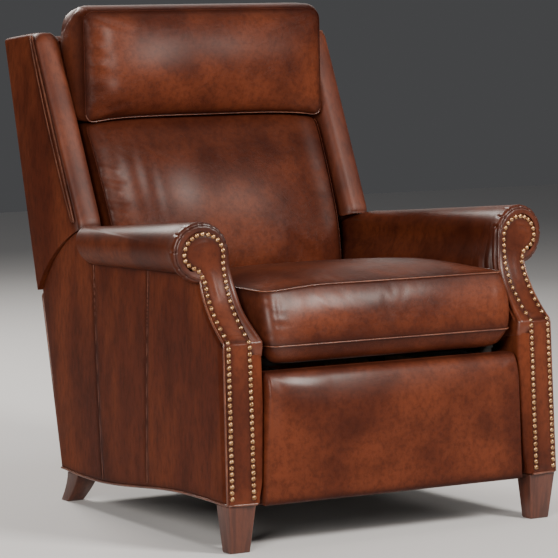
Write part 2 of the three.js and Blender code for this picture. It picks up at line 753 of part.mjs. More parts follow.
// Footrest bracket: an upright web behind the board, with a flange screwed to it
const backOfBoard = z => {
  const up = (z - panelBottom + boardBack * Math.sin(panelTilt)) / Math.cos(panelTilt)
  return panelFace(boardBack, up).y + fitGap
}
const bracketTopZ = highEnd.y + linkHalfWidth
const bracketLowZ = bracketPin.y - linkHalfWidth
const onBack = z => new THREE.Vector2(backOfBoard(z), z)
const bracketWeb = [
  onBack(bracketTopZ),
  onBack(bracketLowZ - linkHalfWidth * 2),
  ...arc(bracketPin.x, bracketPin.y, linkHalfWidth, -60, 0, 3),
  ...arc(highEnd.x, highEnd.y, linkHalfWidth, 0, 90, 4)]
const web = sideways(bracketWeb, bracketNear, bracketFar, [hole(highEnd), hole(bracketPin)])
const flange = sideways([
  onBack(bracketTopZ), onBack(bracketLowZ - linkHalfWidth * 2),
  onBack(bracketLowZ - linkHalfWidth * 2).add(new THREE.Vector2(angleThickness, 0)),
  onBack(bracketTopZ).add(new THREE.Vector2(angleThickness, 0))], bracketNear - bracketFlange, bracketFar)
addPair('footrest_bracket', join(web, flange), steel, footrest)

// Back: a leaning frame whose lower edge clears the body on an arc about the pivot
const back = new THREE.Group()
chair.add(back)
const backRadius = bodyArcRadius + backArcGap
const backLowZ = rearCornerHeight(backRadius, 0)
const wingTopRear = wingFrontTop.height - wingTopFall
const backHeight = (wingTopRear - backTopDrop - backLowZ) * Math.hypot(1, rearLeanShare)
const leaning = new THREE.Group()
leaning.position.set(0, rearY(backLowZ), backLowZ)
leaning.rotation.x = -Math.atan(rearLeanShare)
back.add(leaning)

// A board in the leaning frame: near and far are depths forward of the outside.
const board3 = (halfIn, halfOut, near, far, low, high) => box(halfIn, halfOut, -far, -near, low, high)
const skinSpan = wingInnerX - fitGap
const frameNear = backSkinThickness + fitGap
const frameFar = frameNear + stileDepth
const stileOuter = wingInnerX - fitGap * 2 - hingeArmThickness - fitGap
const stileInner = stileOuter - stileThickness
const railSpan = stileInner - fitGap
const topRailLow = backHeight - topRailHeight
const lowerRailHigh = stileStart + lowerRailHeight
const backSkin = board3(-skinSpan, skinSpan, 0, backSkinThickness, backSkinStart, backHeight)
add('back_skin', backSkin, leather, leaning)
const stile = board3(stileInner, stileOuter, frameNear, frameFar, stileStart, topRailLow - fitGap)
addPair('back_stile', stile, frameWood, leaning)
const lowerRail = board3(-railSpan, railSpan, frameNear, frameFar, stileStart, lowerRailHigh)
add('back_lower_rail', lowerRail, frameWood, leaning)
const topRail = board3(-skinSpan, skinSpan, frameNear, frameFar, topRailLow, backHeight)
add('back_top_rail', topRail, leather, leaning)
add('back_web', board3(-railSpan, railSpan, frameFar - webThickness, frameFar,
  lowerRailHigh + fitGap, topRailLow - fitGap), webbing, leaning)

// Hinge arms and the plates whose studs carry them
const pivot = new THREE.Vector2(pivotSetback, pivotHeight)
const elbow = new THREE.Vector2(hingeElbow.setback, hingeElbow.height)
const armEnd = elbow.clone().add(new THREE.Vector2(hingeUpperArm.back, hingeUpperArm.up))
const armFar = wingInnerX - fitGap * 2
const armNear = armFar - hingeArmThickness
const studHole = circle(pivot.x, pivot.y, hingePinRadius + pinPlay)
const lowerArm = sideways(bar(pivot, elbow, hingeArmHalfWidth), armNear, armFar, [studHole])
const upperArm = sideways(bar(elbow, armEnd, hingeArmHalfWidth), armNear, armFar)
addPair('hinge_arm', join(lowerArm, upperArm), steel, back)
const hingePlate = box(spanX - hingePlateThickness, spanX,
  pivot.x - hingePlateHalf, pivot.x + hingePlateHalf, pivot.y - hingePlateHalf, pivot.y + hingePlateHalf)
const hingePin = rod(hingePinRadius, armNear, spanX - fitGap, pivot.x, pivot.y, 16)
addPair('hinge_plate', join(hingePlate, hingePin), steel)

// Wings: a padded panel each side, with a rolled nose along its front edge
const wingEdge = z => lerp(wingFrontLow.setback, wingFrontTop.setback,
  (z - wingFrontLow.height) / (wingFrontTop.height - wingFrontLow.height))
const wingOuter = z => lerp(wingOuterLowX, wingOuterTopX,
  (z - wingFrontLow.height) / (wingFrontTop.height - wingFrontLow.height))
const turnTo = (y, z) => THREE.MathUtils.radToDeg(Math.atan2(z - pivotHeight, y - pivotSetback))
const wingOutline = [
  ...arc(pivotSetback, pivotHeight, backRadius, turnTo(rearY(backLowZ), backLowZ),
    turnTo(wingFrontLow.setback, wingFrontLow.height), 12),
  new THREE.Vector2(wingFrontLow.setback, wingFrontLow.height),
  new THREE.Vector2(wingFrontTop.setback, wingFrontTop.height),
  new THREE.Vector2(rearY(wingTopRear), wingTopRear)]
addPair('wing', sideways(wingOutline, wingInnerX, p => wingOuter(p.y)), leather, back)
const noseShares = [0, 0.03, 0.5, 0.93, 0.98, 1]
const noseSteps = 10
const noseRings = noseShares.map(share => {
  const z = lerp(wingNoseBottom, wingFrontTop.height, share)
  const near = wingInnerX
  const far = wingOuter(z)
  const fromFoot = share / noseShares[1] + noseFootShare
  const swell = Math.sqrt(clamp(Math.min(fromFoot, (noseTopShare - share) / noseFadeShare), 0, 1))
  return Array.from({ length: noseSteps + 1 }, (_, i) => {
    const turn = Math.PI * i / noseSteps
    const x = (near + far) / 2 - Math.cos(turn) * (far - near) / 2
    const out = wingNose * swell * Math.pow(Math.sin(turn), noseFullness)
    return new THREE.Vector3(x, wingEdge(z) - fitGap * 2 - out, z)
  })
})
addPair('wing_roll', loft(noseRings), leather, back)

// Back cushions between the wings
const cushionRear = z => rearY(z) - (frameFar + fitGap) * Math.hypot(1, rearLeanShare)
const lumbarTop = headrestBottom - fitGap
const lumbarHalf = new THREE.Vector3(lumbarHalfWide,
  (lumbarFrontHead - lumbarFrontFoot) / 2, (lumbarTop - lumbarBottom) / 2)
const lumbarCushion = pillow(lumbarHalf, lumbarRound, [12, 5, 12], (p, a, b, c) => {
  const z = (lumbarTop + lumbarBottom) / 2 + p.z
  const up = (z - lumbarBottom) / (lumbarTop - lumbarBottom)
  const front = lerp(lumbarFrontFoot, lumbarFrontHead, up) - 2 * lumbarBow * Math.sin(Math.PI * up) * up
  const ownRear = lumbarFrontFoot + lumbarFootDepth + lumbarRearShare * (z - lumbarBottom)
  const rear = Math.min(ownRear, cushionRear(z))
  const crown = lumbarCrown * (1 - a ** 4) * (1 - c ** 4) * Math.max(0, -b)
  return new THREE.Vector3(p.x, lerp(front, rear, (b + 1) / 2) - crown, z)
})
add('lumbar_cushion', lumbarCushion, cushionLeather, back)

const headrestTop = wingFrontTop.height + headrestAboveWing
const headrestHalf = new THREE.Vector3(headrestHalfWide,
  (headrestRear - headrestFrontTop) / 2, (headrestTop - headrestBottom) / 2)
const headrestCushion = pillow(headrestHalf, headrestRound, [12, 7, 8], (p, a, b, c) => {
  const z = (headrestTop + headrestBottom) / 2 + p.z
  const up = (z - headrestBottom) / (headrestTop - headrestBottom)
  const front = lerp(headrestFrontLow, headrestFrontTop, up)
  const rear = Math.min(headrestRear, cushionRear(z))
  const crown = headrestCrown * (1 - a ** 4) * (1 - c ** 4) * Math.max(0, -b)
  const rise = headrestRise * (1 - a ** 4) * Math.max(0, c)
  const draw = softGap * Math.abs(a) ** 3 * (1 - c * c)
  return new THREE.Vector3(p.x - Math.sign(a) * draw, lerp(front, rear, (b + 1) / 2) - crown, z + rise)
})
add('headrest_cushion', headrestCushion, cushionLeather, back)

// The origin is on the floor, under the middle of the whole.
const reach = new THREE.Box3().setFromObject(chair)
chair.position.y = -(reach.min.y + reach.max.y) / 2

export default recliner
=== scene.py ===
# Wingback push-back recliner in antiqued leather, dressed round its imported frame.
import math
import bmesh
import bpy
import numpy as np
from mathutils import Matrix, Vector


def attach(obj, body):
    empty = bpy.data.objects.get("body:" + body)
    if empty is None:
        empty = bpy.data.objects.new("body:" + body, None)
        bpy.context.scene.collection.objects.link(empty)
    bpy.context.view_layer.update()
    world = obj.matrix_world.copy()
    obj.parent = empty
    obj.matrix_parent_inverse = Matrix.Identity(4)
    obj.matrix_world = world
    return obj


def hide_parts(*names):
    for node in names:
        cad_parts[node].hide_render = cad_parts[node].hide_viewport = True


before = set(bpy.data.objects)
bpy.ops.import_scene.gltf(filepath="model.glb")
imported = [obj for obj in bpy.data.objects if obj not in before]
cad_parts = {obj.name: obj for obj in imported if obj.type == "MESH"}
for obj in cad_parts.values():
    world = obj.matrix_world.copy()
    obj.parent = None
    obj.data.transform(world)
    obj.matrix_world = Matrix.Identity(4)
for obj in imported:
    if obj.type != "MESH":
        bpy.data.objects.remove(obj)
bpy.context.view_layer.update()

mm = 0.001
rng = np.random.default_rng(7)

# Measures of the chair in millimetres: setbacks from the foot of the footrest, heights from the floor
chair = {
    "middle": 496.29,  # setback of the origin
    "bottom": 100, "dip": 34, "dipStart": 0.2, "dipTurn": 0.62,
    "kneeHeight": 428, "kneeSetback": 21, "kneeEase": 2.25,
    "scrollX": 397.5, "scrollHeight": 599, "scrollSetback": 122, "scrollRadius": 51.5, "hook": 0.27,
    "faceInner": 348, "faceTop": 640,
    "rearAtFloor": 755, "rearLean": 0.24, "rearBottom": 75, "rearCorner": 458,
    "armInner": 341, "post": 71, "neckNarrow": 5, "halfRear": 376, "flare": 0.1,
    "pivotSetback": 580, "pivotHeight": 292, "bodyArc": 330, "backArc": 333,
}


def at(x, setback, height):
    return Vector((x * mm, (setback - chair["middle"]) * mm, height * mm))


def lerp(a, b, t):
    return a + (b - a) * t


def ease(low, high, value):
    t = np.clip((value - low) / (high - low), 0, 1)
    return t * t * (3 - 2 * t)


def frontY(x, z):  # setback of the arm's front face
    below = np.clip((z - chair["bottom"]) / (chair["kneeHeight"] - chair["bottom"]), 0, 1)
    lower = chair["kneeSetback"] * below
    rise = np.clip((z - chair["kneeHeight"]) / (chair["scrollHeight"] - chair["kneeHeight"]), 0, 1)
    sweep = (chair["scrollSetback"] - chair["kneeSetback"]) * (1 - (1 - rise) ** chair["kneeEase"])
    return lower + sweep + (np.abs(x) - chair["armInner"] - chair["post"] / 2) * chair["flare"]


def rearY(z):
    return chair["rearAtFloor"] + chair["rearLean"] * z


def outerX(y):
    back = np.clip(y / rearY(chair["rearBottom"]), 0, 1.3)
    return lerp(chair["armInner"] + chair["post"], chair["halfRear"], back)


def bottomZ(y):
    along = np.clip((y / chair["rearAtFloor"] - chair["dipStart"]) / (1 - chair["dipStart"]), 0, 1)
    return chair["bottom"] - chair["dip"] * np.sin(along * np.pi * chair["dipTurn"]) ** 2


def facingEdge(inset, foot, steps=48):  # inner foot, over the scroll, to the outer foot, as (x, z)
    neck = chair["scrollHeight"] - chair["scrollRadius"]
    narrow = lambda z: chair["neckNarrow"] * (z - chair["bottom"]) / (neck - chair["bottom"])
    heights = np.concatenate([np.linspace(foot, 420, 30), np.linspace(424, neck, 24)])
    path = [(chair["faceInner"] + inset - narrow(z) / 2, z) for z in heights]
    radius = chair["scrollRadius"] - inset
    for turn in np.radians(np.linspace(192, -64, steps)):
        reach = radius * (1 - chair["hook"] * ease(0, math.radians(64), -turn))
        path.append((chair["scrollX"] + reach * math.cos(turn), chair["scrollHeight"] + reach * math.sin(turn)))
    path += [(chair["armInner"] + chair["post"] - inset - narrow(z), z) for z in heights[::-1]]
    return np.array(path)


def pivotArc(radius, first, last, count=24):  # round the back's hinge, between two (setback, height) points
    ends = [math.atan2(z - chair["pivotHeight"], y - chair["pivotSetback"]) for y, z in (first, last)]
    return [(chair["pivotSetback"] + radius * math.cos(t), chair["pivotHeight"] + radius * math.sin(t))
            for t in np.linspace(*ends, count)]


def roundOff(edge, radius):  # how far a round edge falls away, from the distance to the border
    return radius - np.sqrt(radius ** 2 - np.clip(radius - edge, 0, radius) ** 2)


# ---------- modelling helpers
def deselect():
    if bpy.context.object and bpy.context.object.mode != "OBJECT":
        bpy.ops.object.mode_set(mode="OBJECT")
    bpy.ops.object.select_all(action="DESELECT")


def only(piece):
    deselect()
    piece.select_set(True)
    bpy.context.view_layer.objects.active = piece
    return piece


def named(name):
    piece = bpy.context.object
    piece.name = name
    piece.data.name = name
    return piece


def points(piece):
    flat = np.empty(len(piece.data.vertices) * 3)
    piece.data.vertices.foreach_get("co", flat)
    return flat.reshape(-1, 3)


def movePoints(piece, where):
    piece.data.vertices.foreach_set("co", np.ascontiguousarray(where, dtype=float).ravel())
    piece.data.update()


def normals(piece):
    flat = np.empty(len(piece.data.vertices) * 3)
    piece.data.vertices.foreach_get("normal", flat)
    return flat.reshape(-1, 3)


def finishModifiers(piece):
    only(piece)
    for modifier in list(piece.modifiers):
        bpy.ops.object.modifier_apply(modifier=modifier.name)
    return piece


def smooth(piece, angle=40):
    only(piece)
    bpy.ops.object.shade_smooth_by_angle(angle=math.radians(angle))
    return piece


def faceOut(piece):
    only(piece)
    bpy.ops.object.mode_set(mode="EDIT")
    bpy.ops.mesh.select_all(action="SELECT")
    bpy.ops.mesh.remove_doubles(threshold=0.00002)
    bpy.ops.mesh.normals_make_consistent(inside=False)
    bpy.ops.object.mode_set(mode="OBJECT")
    return piece


def subdivided(piece):
    sub = piece.modifiers.new("smooth", "SUBSURF")
    sub.levels = sub.render_levels = 1
    return finishModifiers(piece)


def gridBox(name, cuts):  # a cube of side 2, cut evenly along each axis
    deselect()
    bpy.ops.mesh.primitive_cube_add(size=2)
    piece = named(name)
    bpy.ops.object.mode_set(mode="EDIT")
    bpy.ops.mesh.select_mode(type="EDGE")
    for axis, count in enumerate(cuts):
        bpy.ops.mesh.select_all(action="DESELECT")
        shape = bmesh.from_edit_mesh(piece.data)
        for edge in shape.edges:
            edge.select_set(abs((edge.verts[0].co - edge.verts[1].co)[axis]) > 0.0001)
        bmesh.update_edit_mesh(piece.data)
        if count > 1:
            bpy.ops.mesh.subdivide(number_cuts=count - 1)
    bpy.ops.object.mode_set(mode="OBJECT")
    return piece


def placeAt(piece, x, y, z):  # moves the points to x, setback, height in millimetres
    movePoints(piece, np.stack([x, y - chair["middle"], z], axis=1) * mm)


def shaped(piece, rule):  # the rule gives a place from the cube's a, b, c
    placeAt(piece, *rule(*points(piece).T))


def sheet(name, across, along, rule, thickness=0):  # a grid with u, v from 0 to 1, bent by the rule
    deselect()
    bpy.ops.mesh.primitive_grid_add(x_subdivisions=across, y_subdivisions=along, size=2)
    piece = named(name)
    grid = points(piece)
    placeAt(piece, *rule((grid[:, 0] + 1) / 2, (grid[:, 1] + 1) / 2))
    return walled(piece, thickness, 0) if thickness else piece


def walled(piece, thickness, offset):
    wall = piece.modifiers.new("hide", "SOLIDIFY")
    wall.thickness = thickness * mm
    wall.offset = offset
    finishModifiers(piece)
    return faceOut(piece)


def roundedPlan(a, b, halfA, halfB, radius):  # square a, b in -1..1 to a rectangle with round corners
    level = np.maximum(np.abs(a), np.abs(b))
    p, q = a * halfA, b * halfB
    innerP = np.clip(p, -(halfA - radius) * level, (halfA - radius) * level)
    innerQ = np.clip(q, -(halfB - radius) * level, (halfB - radius) * level)
    offP, offQ = p - innerP, q - innerQ
    far = np.hypot(offP, offQ)
    corner = (np.abs(offP) > 0.001) & (np.abs(offQ) > 0.001)
    grow = np.where(corner, radius * level / np.maximum(far, 0.001), 1)
    return innerP + offP * grow, innerQ + offQ * grow


def mirrored(piece, name):
    copy = piece.copy()
    copy.data = piece.data.copy()
    copy.name = copy.data.name = name
    bpy.context.collection.objects.link(copy)
    where = points(copy)
    where[:, 0] *= -1
    movePoints(copy, where)
    copy.data.flip_normals()
    return copy


def joined(pieces, name):
    deselect()
    for piece in pieces:
        piece.select_set(True)
    bpy.context.view_layer.objects.active = pieces[0]
    bpy.ops.object.join()
    return named(name)


def piping(name, path, radius, closed=False):  # a sewn cord along points given in metres
    deselect()
    curve = bpy.data.curves.new(name, "CURVE")
    curve.dimensions = "3D"
    line = curve.splines.new("POLY")
    line.points.add(len(path) - 1)
    for spot, where in zip(line.points, path):
        spot.co = (*where, 1)
    line.use_cyclic_u = closed
    curve.bevel_depth = radius * mm
    curve.bevel_resolution = 3
    curve.use_fill_caps = not closed
    piece = bpy.data.objects.new(name, curve)
    bpy.context.collection.objects.link(piece)
    only(piece)
    bpy.ops.object.convert(target="MESH")
    return smooth(faceOut(named(name)), 70)


def resampled(path, step):
    path = np.asarray([tuple(p) for p in path], dtype=float)
    run = np.concatenate([[0], np.cumsum(np.linalg.norm(np.diff(path, axis=0), axis=1))])
    count = max(2, int(round(run[-1] / step)) + 1)
    even = np.linspace(0, run[-1], count)
    return np.stack([np.interp(even, run, line) for line in path.T], axis=1)


def distanceTo(where, path):  # distance to a line, and how far along it, from 0 to 1
    path = np.asarray(path, dtype=float)
    best = np.full(len(where), 1e9)
    share = np.zeros(len(where))
    total = len(path) - 1
    for k in range(total):
        start, run = path[k], path[k + 1] - path[k]
        t = np.clip(((where - start) @ run) / max(run @ run, 1e-12), 0, 1)
        far = np.linalg.norm(where - start - t[:, None] * run, axis=1)
        near = far < best
        best[near] = far[near]
        share[near] = (k + t[near]) / total
    return best, share


def crease(piece, path, width, height, taper=0.35):  # a ridge (or a groove) along points in metres
    where = points(piece)
    path = np.asarray([tuple(p) for p in path], dtype=float)
    low, high = path.min(axis=0) - width * mm * 3, path.max(axis=0) + width * mm * 3
    close = np.all((where > low) & (where < high), axis=1)
    if not close.any():
        return piece
    far, share = distanceTo(where[close], resampled(path, 0.006))
    ends = np.clip(np.minimum(share, 1 - share) / max(taper, 0.001), 0, 1)
    push = height * mm * np.exp(-(far / (width * mm)) ** 2) * np.sin(ends * np.pi / 2)
    where[close] += normals(piece)[close] * push[:, None]
    movePoints(piece, where)
    return piece


def creaseAll(piece, folds, taper=0.35):
    for path, width, height in folds:
        crease(piece, path, width, height, taper)


def burnish(piece, paths, reach=22, ground=0):  # painted shade in seams, creases, recesses and under overhangs, with some real antiquing at the seams, kept as an attribute; ground adds painted shade of its own
    where = points(piece)
    dark = np.zeros(len(where)) + ground
    for path in paths:
        far = distanceTo(where, resampled(path, 0.02))[0]
        dark = np.maximum(dark, np.exp(-(far / (reach * mm)) ** 1.5))
    return marked(piece, "burnish", dark)


def spotsOfShine(where, spots, base=0.0):  # gloss laid where highlights should fall, a painted sheen, as (x, height, half width, half height, strength)
    total = np.full(len(where), float(base))
    for x, z, wide, tall, strength in spots:
        far = ((where[:, 0] - x) / wide) ** 2 + ((where[:, 2] - z) / tall) ** 2
        total = total + strength * np.exp(-far)
    return np.clip(total, 0, 1)


def marked(piece, name, values):
    layer = piece.data.attributes.get(name) or piece.data.attributes.new(name, "FLOAT", "POINT")
    layer.data.foreach_set("value", np.asarray(values, dtype=np.float32))
    return piece


def puff(piece, held, settings):  # cushion filling: pressure inside, the held points stay
    rest = points(piece).copy()
    group = piece.vertex_groups.new(name="held")
    group.add([int(i) for i in np.nonzero(held)[0]], 1.0, "REPLACE")
    cloth = piece.modifiers.new("filling", "CLOTH")
    rules = cloth.settings
    rules.quality = 5
    rules.mass = 0.3
    rules.tension_stiffness = rules.compression_stiffness = settings["stiffness"]
    rules.shear_stiffness = settings["stiffness"] / 3
    rules.bending_stiffness = settings["bending"]
    rules.use_pressure = True
    rules.uniform_pressure_force = settings["pressure"]
    rules.effector_weights.gravity = 0
    rules.vertex_group_mass = "held"
    rules.shrink_min = -settings["slack"]
    cloth.collision_settings.use_collision = False
    cloth.collision_settings.use_self_collision = False
    cloth.point_cache.frame_start = 1
    cloth.point_cache.frame_end = settings["frames"]
    scene = bpy.context.scene
    for number in range(1, settings["frames"] + 1):
        scene.frame_set(number)
    finishModifiers(piece)
    scene.frame_set(1)
    moved = points(piece) - rest
    far = np.linalg.norm(moved, axis=1)
    cap = settings["cap"] * mm
    movePoints(piece, rest + moved * (cap * np.tanh(far / cap) / np.maximum(far, 1e-9))[:, None])
    piece.vertex_groups.clear()
    print("filled", piece.name, "furthest", round(float(far.max()) * 1000, 1), "mm")
    return piece


# ---------- materials
def nodeOf(tree, kind, **values):
    node = tree.nodes.new(kind)
    for key, value in values.items():
        if hasattr(node, key):
            setattr(node, key, value)
        else:
            node.inputs[key].default_value = value
    return node


def newGroup(name, inputs, outputs):
    tree = bpy.data.node_groups.new(name, "ShaderNodeTree")
    for label, kind, value in inputs:
        socket = tree.interface.new_socket(label, in_out="INPUT", socket_type=kind)
        if value is not None:
            socket.default_value = value
    for label, kind in outputs:
        tree.interface.new_socket(label, in_out="OUTPUT", socket_type=kind)
    return tree, tree.nodes.new("NodeGroupInput"), tree.nodes.new("NodeGroupOutput")


def noise(tree, place, scale, detail, roughness, distortion=0.0):
    node = nodeOf(tree, "ShaderNodeTexNoise", Scale=scale, Detail=detail, Roughness=roughness,
                  Distortion=distortion)
    tree.links.new(place, node.inputs["Vector"])
    return node.outputs["Fac"]


def mixColour(tree, factor, first, second, blend="MIX"):
    node = tree.nodes.new("ShaderNodeMix")
    node.data_type = "RGBA"
    node.blend_type = blend
    for socket, value in ((node.inputs[0], factor), (node.inputs[6], first), (node.inputs[7], second)):
        if isinstance(value, bpy.types.NodeSocket):
            tree.links.new(value, socket)
        else:
            socket.default_value = value
    return node.outputs[2]


def calc(tree, operation, first, second=None, clamp=False):
    node = tree.nodes.new("ShaderNodeMath")
    node.operation = operation
    node.use_clamp = clamp
    for socket, value in zip(node.inputs, (first, second)):
        if isinstance(value, bpy.types.NodeSocket):
            tree.links.new(value, socket)
        elif value is not None:
            socket.default_value = value
    return node.outputs[0]


def times(tree, first, second, clamp=False):
    return calc(tree, "MULTIPLY", first, second, clamp)


def plus(tree, first, second, clamp=False):
    return calc(tree, "ADD", first, second, clamp)


def stepped(tree, value, low, high):
    limits = {"From Min": low, "From Max": high}
    node = nodeOf(tree, "ShaderNodeMapRange", interpolation_type="SMOOTHSTEP", **limits)
    tree.links.new(value, node.inputs["Value"])
    return node.outputs["Result"]


def makeMottle():  # hand-rubbed antique finish: broad clouds, smaller blotches, soft streaks
    tree, given, made = newGroup("handRubbedMottle", [
        ("Place", "NodeSocketVector", None), ("Dark", "NodeSocketColor", (0.03, 0.01, 0.006, 1)),
        ("Mid", "NodeSocketColor", (0.12, 0.035, 0.016, 1)),
        ("Light", "NodeSocketColor", (0.25, 0.08, 0.03, 1)),
        ("Scale", "NodeSocketFloat", 1.0), ("Streak", "NodeSocketFloat", 1.0)],
        [("Color", "NodeSocketColor"), ("Cloud", "NodeSocketFloat")])
    link = tree.links.new
    stretch = nodeOf(tree, "ShaderNodeCombineXYZ", X=1, Y=1)
    link(given.outputs["Streak"], stretch.inputs[2])
    place = nodeOf(tree, "ShaderNodeVectorMath", operation="MULTIPLY")
    link(given.outputs["Place"], place.inputs[0])
    link(stretch.outputs[0], place.inputs[1])
    scaled = nodeOf(tree, "ShaderNodeVectorMath", operation="SCALE")
    link(place.outputs[0], scaled.inputs[0])
    link(given.outputs["Scale"], scaled.inputs["Scale"])
    where, rubbedToneAndSheen = scaled.outputs[0], given.outputs["Dark"]
    clouds = noise(tree, where, 6.5, 2.0, 0.5, 0.15)
    blotch = noise(tree, where, 15.0, 3.0, 0.5, 0.2)
    fine = noise(tree, where, 80.0, 4.0, 0.65, 0.1)
    base = mixColour(tree, stepped(tree, clouds, 0.34, 0.66), given.outputs["Mid"], given.outputs["Light"])
    base = mixColour(tree, times(tree, stepped(tree, blotch, 0.44, 0.8), 0.42), base, rubbedToneAndSheen)
    base = mixColour(tree, times(tree, stepped(tree, fine, 0.38, 0.72), 0.38), base, rubbedToneAndSheen)
    link(base, made.inputs["Color"])
    link(clouds, made.inputs["Cloud"])
    return tree


def makeGrain():  # fine pebble of the hide with shallow creases
    tree, given, made = newGroup("hideGrain", [
        ("Place", "NodeSocketVector", None), ("Pebble", "NodeSocketFloat", 650.0),
        ("Creases", "NodeSocketFloat", 0.5)], [("Height", "NodeSocketFloat")])
    link = tree.links.new
    pebble = nodeOf(tree, "ShaderNodeTexVoronoi", Randomness=1.0)
    link(given.outputs["Place"], pebble.inputs["Vector"])
    link(given.outputs["Pebble"], pebble.inputs["Scale"])
    folds = noise(tree, given.outputs["Place"], 55.0, 6.0, 0.62, 1.4)
    ridge = calc(tree, "ABSOLUTE", calc(tree, "SUBTRACT", folds, 0.5))
    ridge = times(tree, calc(tree, "MINIMUM", times(tree, ridge, 9.0), 1.0), given.outputs["Creases"])
    link(plus(tree, times(tree, pebble.outputs["Distance"], 0.5), ridge), made.inputs["Height"])
    return tree


groups = {"mottle": makeMottle(), "grain": makeGrain()}


def startMaterial(name):
    material = bpy.data.materials.new(name)
    material.use_nodes = True
    tree = material.node_tree
    shader = tree.nodes["Principled BSDF"]
    place = tree.nodes.new("ShaderNodeTexCoord")
    return material, tree, shader, place.outputs["Object"]


def placed(tree, source, location=(0, 0, 0), scale=(1, 1, 1)):
    node = nodeOf(tree, "ShaderNodeMapping", Location=location, Scale=scale)
    tree.links.new(source, node.inputs["Vector"])
    return node.outputs["Vector"]


def groupNode(tree, group, place, **values):
    node = tree.nodes.new("ShaderNodeGroup")
    node.node_tree = group
    tree.links.new(place, node.inputs["Place"])
    for key, value in values.items():
        node.inputs[key].default_value = value
    return node


def addBump(tree, shader, height, strength, reach):
    bump = nodeOf(tree, "ShaderNodeBump", Strength=strength, Distance=reach)
    tree.links.new(height, bump.inputs["Height"])
    tree.links.new(bump.outputs["Normal"], shader.inputs["Normal"])


def addRoughness(tree, shader, cloud, spread, base):
    tree.links.new(plus(tree, times(tree, cloud, spread), base), shader.inputs["Roughness"])


def attribute(tree, name):
    return nodeOf(tree, "ShaderNodeAttribute", attribute_name=name).outputs["Fac"]


def leather(name, **changes):  # an antiqued hide: the common look with this piece's changes
    look = {**hide, **changes}
    material, tree, shader, source = startMaterial(name)
    dark, mid, light = ((*look[tone], 1) for tone in ("dark", "mid", "light"))
    mottle = groupNode(tree, groups["mottle"], placed(tree, source, look["offset"]),
                       Dark=dark, Mid=mid, Light=light, Scale=look["scale"], Streak=look["streak"])
    grain = groupNode(tree, groups["grain"], source, Pebble=look["pebble"], Creases=look["creases"])
    # the hide darkens towards its dark tone by the painted shade and patina attribute
    shadeAndPatinaAmount = times(tree, attribute(tree, "burnish"), look["burnish"], clamp=True)
    tree.links.new(mixColour(tree, shadeAndPatinaAmount, mottle.outputs["Color"], dark), shader.inputs["Base Color"])
    addRoughness(tree, shader, mottle.outputs["Cloud"], look["roughSpread"], look["rough"])
    shader.inputs["Specular IOR Level"].default_value = look["specular"]
    coat = plus(tree, times(tree, attribute(tree, "shine"), look["shine"]), look["coat"], clamp=True)
    tree.links.new(coat, shader.inputs["Coat Weight"])
    shader.inputs["Coat Roughness"].default_value = look["coatRough"]
    addBump(tree, shader, grain.outputs["Height"], look["bump"], 0.0006)
    return material


# burnish sets how far the painted shade and patina darken each hide
hide = {
    "offset": (0.3, 0.7, 0.1), "dark": (0.019, 0.0045, 0.003), "mid": (0.07, 0.0162, 0.0076),
    "light": (0.132, 0.0322, 0.0135), "scale": 1.0, "streak": 1.0, "pebble": 620.0, "creases": 0.35,
    "burnish": 0.75, "rough": 0.36, "roughSpread": 0.18, "specular": 0.06, "coat": 0.0, "coatRough": 0.36,
    "bump": 0.35, "shine": 0.8,
}
# the sides and wings get lighter mid and light tones than the cushions: painted light
bodyLeather = leather("antiqueLeatherBody", streak=0.35, scale=1.25, offset=(1.3, 0.2, 0.6), specular=0.05,
                      coatRough=0.5, mid=(0.086, 0.0192, 0.0088), light=(0.155, 0.038, 0.0155))
cushionLeather = leather("antiqueLeatherCushion", rough=0.27, creases=0.7, bump=0.55, coatRough=0.4, shine=1.0)
padLeather = leather("antiqueLeatherFootrest", offset=(2.1, 0.4, 1.7), specular=0.08, coatRough=0.38, bump=0.5,
                     creases=0.7, shine=1.0)
armLeather = leather("antiqueLeatherArm", offset=(0.9, 1.6, 0.3), streak=0.8)
# welts get lighter tones and no shade attribute: a painted highlight along the piping
highlitWeltLeather = leather("antiqueLeatherWeltHighlit", mid=(0.115, 0.034, 0.017), light=(0.19, 0.064, 0.032), burnish=0.0,
                      rough=0.24, specular=0.34, coat=0.5, coatRough=0.26, scale=2.0)


def wood(name, look):
    material, tree, shader, source = startMaterial(name)
    place = placed(tree, source, look["offset"], look["stretch"])
    rings = noise(tree, place, look["scale"], 6.0, 0.6, 1.2)
    pores = noise(tree, place, look["scale"] * 9, 2.0, 0.5)
    dark, light, pore = ((*look[tone], 1) for tone in ("dark", "light", "pore"))
    colour = mixColour(tree, stepped(tree, rings, 0.35, 0.68), dark, light)
    colour = mixColour(tree, times(tree, stepped(tree, pores, 0.55, 0.75), 0.4), colour, pore)
    tree.links.new(colour, shader.inputs["Base Color"])
    addRoughness(tree, shader, pores, 0.2, look["rough"])
    addBump(tree, shader, pores, look["bump"], 0.0004)
    shader.inputs["Coat Weight"].default_value = look["coat"]
    shader.inputs["Coat Roughness"].default_value = 0.2
    return material


legWood = wood("stainedLegWood", {
    "offset": (0.2, 0.1, 0), "stretch": (1, 1, 0.09), "scale": 60.0, "rough": 0.3, "bump": 0.2, "coat": 0.25,
    "dark": (0.055, 0.014, 0.007), "light": (0.105, 0.028, 0.013), "pore": (0.028, 0.009, 0.005)})
bare = {"offset": (0, 0, 0), "stretch": (0.1, 1, 1), "scale": 40.0, "bump": 0.3, "coat": 0.0}
frameWood = wood("bareFrameWood", {**bare, "rough": 0.55, "dark": (0.05, 0.028, 0.014),
                                   "light": (0.11, 0.062, 0.03), "pore": (0.03, 0.016, 0.008)})
railWood = wood("shadedRailWood", {**bare, "rough": 0.7, "dark": (0.012, 0.007, 0.005),
                                   "light": (0.022, 0.012, 0.008), "pore": (0.008, 0.005, 0.004)})


